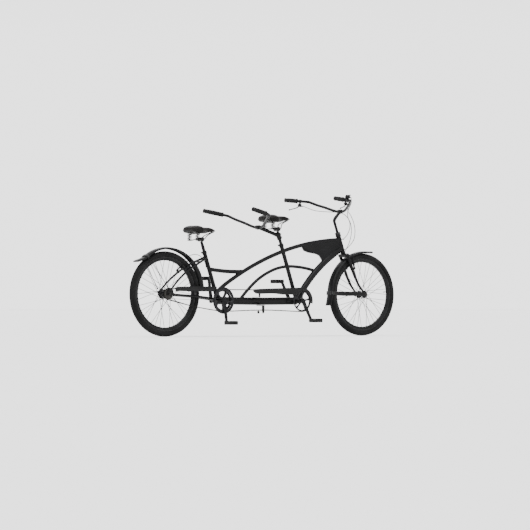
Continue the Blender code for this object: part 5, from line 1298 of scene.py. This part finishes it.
def brake_controls():
    for side, sign in SIDES:
        ring, along, drop, cross, pivot = lever_frame(sign)

        def spots(*rows):
            """(along, drop) points from the clamp."""
            return [ring + along * a + drop * d for a, d in rows]

        def bar(stations, half_depth):
            """An oval bar in the lever's plane through (along, drop, half height) stations."""
            rows = curve(stations, 6)
            path = [pivot + along * a + drop * (d - 0.040) for a, d, _ in rows]
            return tube(path, np.stack([np.full(len(rows), half_depth), rows[:, 2]], 1), 20, cross)

        clamp = [collar(ring, along, 0.009, 0.0148),
                 rod(ring + drop * 0.0125, ring + drop * 0.030, 0.0078, 24)]
        for depth in (-1, 1):
            cheek = spots((-0.014, 0.023), (0.010, 0.023), (0.0135, 0.032), (0.009, 0.0435),
                          (-0.006, 0.046), (-0.0145, 0.040))
            clamp.append(slab(cheek, *sorted((depth * 0.0048, depth * 0.0086)), across=cross, bevel=0.0008))
        yoke = spots((-0.014, 0.023), (0.010, 0.023), (0.010, 0.0300), (-0.014, 0.0300))
        clamp.append(slab(yoke, -0.0080, 0.0080, cross, 0.0006))
        barrel = pivot - along * 0.026
        for k in range(8):
            clamp.append(lathe([(0.0022, 0), (0.0046, 0), (0.0050, 0.0005), (0.0046, 0.0010),
                                (0.0022, 0.0010)],
                               barrel + along * 0.0014 * k, along, 24))
        clamp.append(rod(barrel + along * 0.010, pivot - along * 0.0075, 0.0034))
        clamp += [socket_bolt(pivot + cross * 0.0084, cross, 0.0036, 0.0018),
                  rod(pivot - cross * 0.0095, pivot + cross * 0.0085, 0.0024)]
        dress(build(f"brake_perch_{side}_cast", clamp), "alloy", "control_black", "steering",
              f"brake_perch_{side}", angle=35)
        blade = [bar([(-0.005, 0.0400, 0.0048), (0.006, 0.0420, 0.0054), (0.020, 0.0540, 0.0045),
                      (0.045, 0.0640, 0.0039), (0.070, 0.0720, 0.0038),
                      (0.081, 0.0762, 0.0036)], 0.0039)]
        tip = pivot + along * 0.082 + drop * 0.0365
        arc = np.linspace(-90, 90, 13)
        ball = [(max(0.0001, 0.0061 * math.cos(math.radians(a))), 0.0061 * math.sin(math.radians(a)))
                for a in arc]
        blade.append(lathe(ball, tip, along, 28))
        dress(build(f"brake_lever_{side}_blade", blade), "alloy", "control_black", f"lever_{side}",
              f"brake_lever_{side}")


def shifter():
    clamp, tilt, _ = CLAMPS[""]
    start, along, _ = grip_line(clamp, tilt, -1)
    ring, up = start + along * 0.022, unit(UP - along * along[2])
    across = np.cross(up, along)
    pod = [(0.0001, 0.0153), (0.0185, 0.0153), (0.0208, 0.0180), (0.0210, 0.0300), (0.0195, 0.0335),
           (0.0172, 0.0345),
           (0.0001, 0.0345)]
    shells = [collar(ring, along, 0.007, 0.0163), lathe(pod, ring, up, 56),
              rod(ring + up * 0.024 - along * 0.010, ring + up * 0.024 - along * 0.0315, 0.0044, 24, 0.001)]
    for k in range(12):
        a = 2 * math.pi * k / 12
        spot = ring + (along * math.cos(a) + across * math.sin(a)) * 0.0204
        shells.append(rod(spot + up * 0.0200, spot + up * 0.0285, 0.0009, 8))
    dress(build("shifter_pod", shells), "plastic", "control_black", "steering", "shifter")
    outline = curve([(0.016, 0.0), (0.011, 0.012), (-0.004, 0.015), (-0.016, 0.004), (-0.015, -0.009),
                     (-0.006, -0.016), (0.004, -0.034), (0.013, -0.0375), (0.0185, -0.032), (0.012, -0.014),
                     (0.016, 0.0)],
                    5)[:-1]
    top = at("shifter_lever")
    paddle = slab([top + along * a - across * b for a, b in outline], 0.0, 0.0064, up, 0.0012)
    knob = [(0.0001, 0.0060), (0.0090, 0.0060), (0.0090, 0.0066), (0.0070, 0.0070), (0.0001, 0.0070)]
    grooves = []
    for k in range(4):
        spot = top + along * (0.0065 + 0.0022 * k) + across * (0.0300 + 0.0006 * k) + up * 0.0062
        grooves.append(rod(spot - across * 0.0040 + along * 0.0008, spot + across * 0.0034, 0.0006, 8))
    dress(build("shifter_paddle", [paddle, lathe(knob, top, up, 32), *grooves]), "plastic", "control_black",
          "thumb_lever",
          "shifter_lever")


# ---------------------------------------------------------------- rim brakes
BRAKE_REACH = {"front": 0.115, "rear": 0.105}
PAD_RADIUS = 0.272


def brake_arms():
    """Upright rim-brake arms with their springs, and the slotted pads on them."""
    for end in ENDS:
        hub, up, out, reach = HUB[end], BRAKE_UP[end], BRAKE_OUT[end], BRAKE_REACH[end]
        for side, sign in SIDES:
            pivot, wide = at(f"{end}_brake_arm_{side}"), LEFT * sign
            rows = curve([(-0.011, 0.0, 0.0052, 0.0045), (0.0, 0.0, 0.0083, 0.0054),
                          (0.030, -0.0005, 0.0062, 0.0050),
                          (reach * 0.75, 0.0015, 0.0045, 0.0045), (reach, 0.0020, 0.0040, 0.0040)], 6)
            path = [pivot + up * t + wide * lean for t, lean, _, _ in rows]
            arm = [tube(path, rows[:, 2:], 20), rod(pivot - out * 0.0056, pivot + out * 0.0060, 0.0082, 28)]
            arm.append(socket_bolt(pivot + out * 0.0058, out, 0.0050, 0.0016))
            top = path[-1] - up * 0.006
            arm.append(rod(top - wide * 0.0046, top + wide * 0.0060, 0.0034, 16))
            spring = curve([pivot + up * 0.012 - out * 0.0060 + wide * 0.0060,
                            pivot + up * 0.040 - out * 0.0062 + wide * 0.0066,
                            pivot + up * 0.066 - out * 0.0054 + wide * 0.0050], 6)
            arm.append(tube(spring, 0.0008, 8))
            foot = pivot + up * 0.030
            way = foot - hub
            radial = unit((way[0], 0, way[2]))
            tangent = np.array((-radial[2], 0, radial[0]))
            spot = hub + radial * PAD_RADIUS
            arm.append(rod(foot + wide * 0.0080, spot * (1, 0, 1) + wide * 0.0270, 0.0043, 16))
            arm += hexagon(foot + wide * 0.0066, wide, 0.0052, 0.0036)
            dress(build(f"{end}_brake_arm_{side}_forged", arm), "alloy", "brake_alloy", f"{end}_arm_{side}",
                  f"{end}_brake_arm_{side}")
            rings = []
            for t in np.linspace(-0.026, 0.026, 53):
                middle = spot + tangent * t - radial * t * t / (2 * PAD_RADIUS)
                slot = 0.0012 if abs(abs(t) - 0.0095) < 0.0011 else 0.0
                end_thin = 1.0 - 0.35 * max(0.0, (abs(t) - 0.022) / 0.004)
                rings.append([(middle + radial * h * end_thin) * (1, 0, 1) + wide * y for h, y in (
                    (-0.0050, 0.0190 + slot), (0.0050, 0.0190 + slot), (0.0060, 0.0230), (0.0060, 0.0290),
                    (-0.0060, 0.0290), (-0.0060, 0.0230))])
            dress(build(f"{end}_brake_pad_{side}", [ring_shell(rings)]), "grip", "tyre_rubber",
                  f"{end}_arm_{side}")


# ---------------------------------------------------------------- cables
CABLE_RADIUS = 0.0025
ROUTES = {  # (s, y, z) stations
    "front": ((1.650, 0.215, 1.004), (1.700, 0.150, 0.994), (1.755, 0.090, 0.9885),
              (1.800, 0.058, 0.982), (1.840, 0.048, 0.962), (1.880, 0.046, 0.917),
              (1.898, 0.046, 0.860), (1.893, 0.046, 0.800), (1.878, 0.050, 0.745),
              (1.860, 0.060, 0.700), (1.845, 0.067, 0.668), (1.837, 0.0660, 0.6500)),
    "rear": ((0.4020, 0.0, 0.535), (0.3930, 0.0, 0.570), (0.3800, 0.0, 0.592), (0.3700, 0.003, 0.6065),
             (0.350, 0.012, 0.6270), (0.320, 0.030, 0.6380), (0.285, 0.052, 0.6300),
             (0.258, 0.062, 0.6120), (0.2400, 0.0655, 0.5960)),
    "rear_front": ((1.650, -0.215, 1.004), (1.700, -0.150, 0.994), (1.755, -0.098, 0.980),
                   (1.800, -0.068, 0.957), (1.838, -0.055, 0.905), (1.8585, -0.047, 0.845),
                   (1.8570, -0.040, 0.780), (1.833, -0.034, 0.738), (1.797, -0.0290, 0.703),
                   (1.764, -0.0262, 0.686)),
    "shift": ((1.700, -0.196, 1.060), (1.742, -0.118, 1.020), (1.765, -0.068, 0.984),
              (1.786, -0.047, 0.945), (1.810, -0.040, 0.905), (1.8165, -0.035, 0.866),
              (1.807, -0.031, 0.832), (1.788, -0.0280, 0.800), (1.757, -0.0245, 0.771)),
}


def cable(name, points, body, node, ferrules=(0, -1), bends=False):
    """A housing with a metal ferrule at each end named; one that crosses the headset is tied to no body and
    gets a cable stop on the frame.
    """
    line = curve(points, 6)
    shells = [tube(line, CABLE_RADIUS, 14, UP)]
    piece = build(name, shells)
    if bends:
        dress(piece, "cable", "cable_housing", None, node)
        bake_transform(piece)
        stop, way = line[-1], unit(line[-2] - line[-1])
        root = on_head(stop[2]) + unit(stop - on_head(stop[2])) * 0.012
        shells = [rod(root, stop, 0.0030, 20), rod(stop - way * 0.0035, stop + way * 0.0040, 0.0046, 24)]
        dress(build(f"{name}_stop", shells), "paint", "frame_paint", "frame")
    else:
        dress(piece, "cable", "cable_housing", body, node)
    for k, where in enumerate(ferrules):
        here = line[where]
        way = unit(line[1] - line[0]) if where == 0 else unit(line[-2] - line[-1])
        tip = "steering" if bends and where == 0 else body
        dress(build(f"{name}_ferrule_{k}", [rod(here, here + way * 0.011, 0.0030, 20)]), "steel",
              "cable_housing", tip)
    return line


def cables():
    """The four cables, with the wire and bellows between each pair of brake arms."""
    _, along, _, _, pivot = lever_frame(1)
    start = pivot - along * 0.0266
    out = start - along * 0.012
    mirror = np.array((1, -1, 1))
    for end in ENDS:
        up, ahead = BRAKE_UP[end], BRAKE_OUT[end] * 0.0072
        left, right = (at(f"{end}_brake_arm_{side}") + up * (BRAKE_REACH[end] - 0.006) + ahead
                       for side, _ in SIDES)
        if end == "front":
            route = [start, out, *places(ROUTES["front"]), left + LEFT * 0.010, left]
        else:
            route = [*places(ROUTES["rear"]), left + LEFT * 0.010, left]
        body = "steering" if end == "front" else "frame"
        cable(f"{end}_brake_housing", route, body, f"{end}_brake_cable",
              ferrules=(0,) if end == "front" else ())
        wire = [tube([left, right - LEFT * 0.006], 0.0010, 10, UP),
                rod(left - LEFT * 0.001, left - LEFT * 0.009, 0.0029, 16),
                *[lathe([(0.0010, 0), (0.0038, 0.0010), (0.0038, 0.0026), (0.0010, 0.0036)],
                        left - LEFT * (0.010 + 0.0036 * k),
                        -LEFT, 20) for k in range(7)]]
        dress(build(f"{end}_brake_wire", wire), "steel", "cable_housing", body)
    cable("rear_brake_housing_front", [start * mirror, out * mirror,
                                       *places(ROUTES["rear_front"])],
          "frame", "rear_brake_cable_front", bends=True)
    clamp, tilt, _ = CLAMPS[""]
    begin, along, _ = grip_line(clamp, tilt, -1)
    pod = begin + along * (0.022 - 0.0326) + unit(UP - along * along[2]) * 0.024
    cable("shift_housing_front", [pod, pod - along * 0.012, *places(ROUTES["shift"])],
          "frame", "shift_cable_front", bends=True)


# ---------------------------------------------------------------- the bicycle
main_frame()
rear_stays()
tank()
fork()
headset()
for end in ENDS:
    wheel(end)
for end in ENDS:
    axle(end)
fender("rear", "frame")
fender("front", "steering")
fender_stays()
for end in ENDS:
    cranks(end)
    for side, sign in SIDES:
        pedal(end, side, sign)
chains()
guards()
tensioner()
saddles()
seat_posts()
stems()
bars_and_grips()
brake_controls()
shifter()
brake_arms()
cables()

# ---------------------------------------------------------------- floor, light and camera
FLOOR_SIZE = 1200.0
PALE = 2.6  # brightness of the studio's far wall, which the lit floor matches


def stage():
    """A pale floor out to the horizon, in a studio that is bright low down and dim overhead."""
    mesh = bpy.data.meshes.new("floor")
    half = FLOOR_SIZE / 2
    mesh.from_pydata([(-half, -half, 0), (half, -half, 0), (half, half, 0), (-half, half, 0)], [],
                     [(0, 1, 2, 3)])
    floor = link("floor", mesh)
    floor.location.z = -0.0005
    n = Nodes("pale_floor")
    n.set(Base_Color=n.ramp(n.noise(0.8), (0.0, 0.85), (1.0, 0.87)), Roughness=0.9)
    n.shader.inputs["Specular IOR Level"].default_value = 0.0
    mesh.materials.append(n.material)
    world = bpy.data.worlds.new("studio")
    bpy.context.scene.world = world
    world.use_nodes = True
    tree = world.node_tree
    background = tree.nodes["Background"]
    split = tree.nodes.new("ShaderNodeSeparateXYZ")
    ramp = tree.nodes.new("ShaderNodeValToRGB")
    tree.links.new(tree.nodes.new("ShaderNodeTexCoord").outputs["Generated"], split.inputs[0])
    tree.links.new(split.outputs["Z"], ramp.inputs["Fac"])
    tree.links.new(ramp.outputs["Color"], background.inputs["Color"])
    ramp.color_ramp.elements[0].position, ramp.color_ramp.elements[0].color = 0.07, (1, 1, 1, 1)
    ramp.color_ramp.elements[1].position, ramp.color_ramp.elements[1].color = 0.34, (0.12, 0.12, 0.12, 1)
    background.inputs["Strength"].default_value = PALE


# Name, azimuth, elevation and power, and the angle that they all spread over
LAMPS = (("key", -70, 58, 6.0), ("fill", 20, 40, 2.0), ("rim", 150, 48, 2.0))
SOFTNESS = 60


def soft_light(name, azimuth, elevation, power):
    """A broad distant lamp, azimuth 0 being in front of the bicycle's right side."""
    light = bpy.data.lights.new(name, "SUN")
    light.angle = math.radians(SOFTNESS)
    light.energy = power
    lamp = link(name, light)
    turn, rise = math.radians(azimuth), math.radians(elevation)
    back = Vector((math.sin(turn) * math.cos(rise), -math.cos(turn) * math.cos(rise), math.sin(rise)))
    lamp.rotation_euler = back.to_track_quat("Z", "Y").to_euler()


def camera():
    """A long lens far back, level with the wheels' lower half, from behind and to the right."""
    azimuth, elevation, distance = math.radians(-37.96), math.radians(-0.64), 30.3
    look_at = Vector((0.0, 0.0, 0.56))
    back = Vector((math.sin(azimuth) * math.cos(elevation), -math.cos(azimuth) * math.cos(elevation),
                   math.sin(elevation)))
    data = bpy.data.cameras.new("camera")
    data.sensor_width = 36.0
    data.lens = 261.6
    data.clip_end = 2000.0
    cam = link("camera", data)
    cam.location = look_at + back * distance
    cam.rotation_euler = (-back).to_track_quat("-Z", "Y").to_euler()
    bpy.context.scene.camera = cam


stage()
for lamp in LAMPS:
    soft_light(*lamp)
camera()
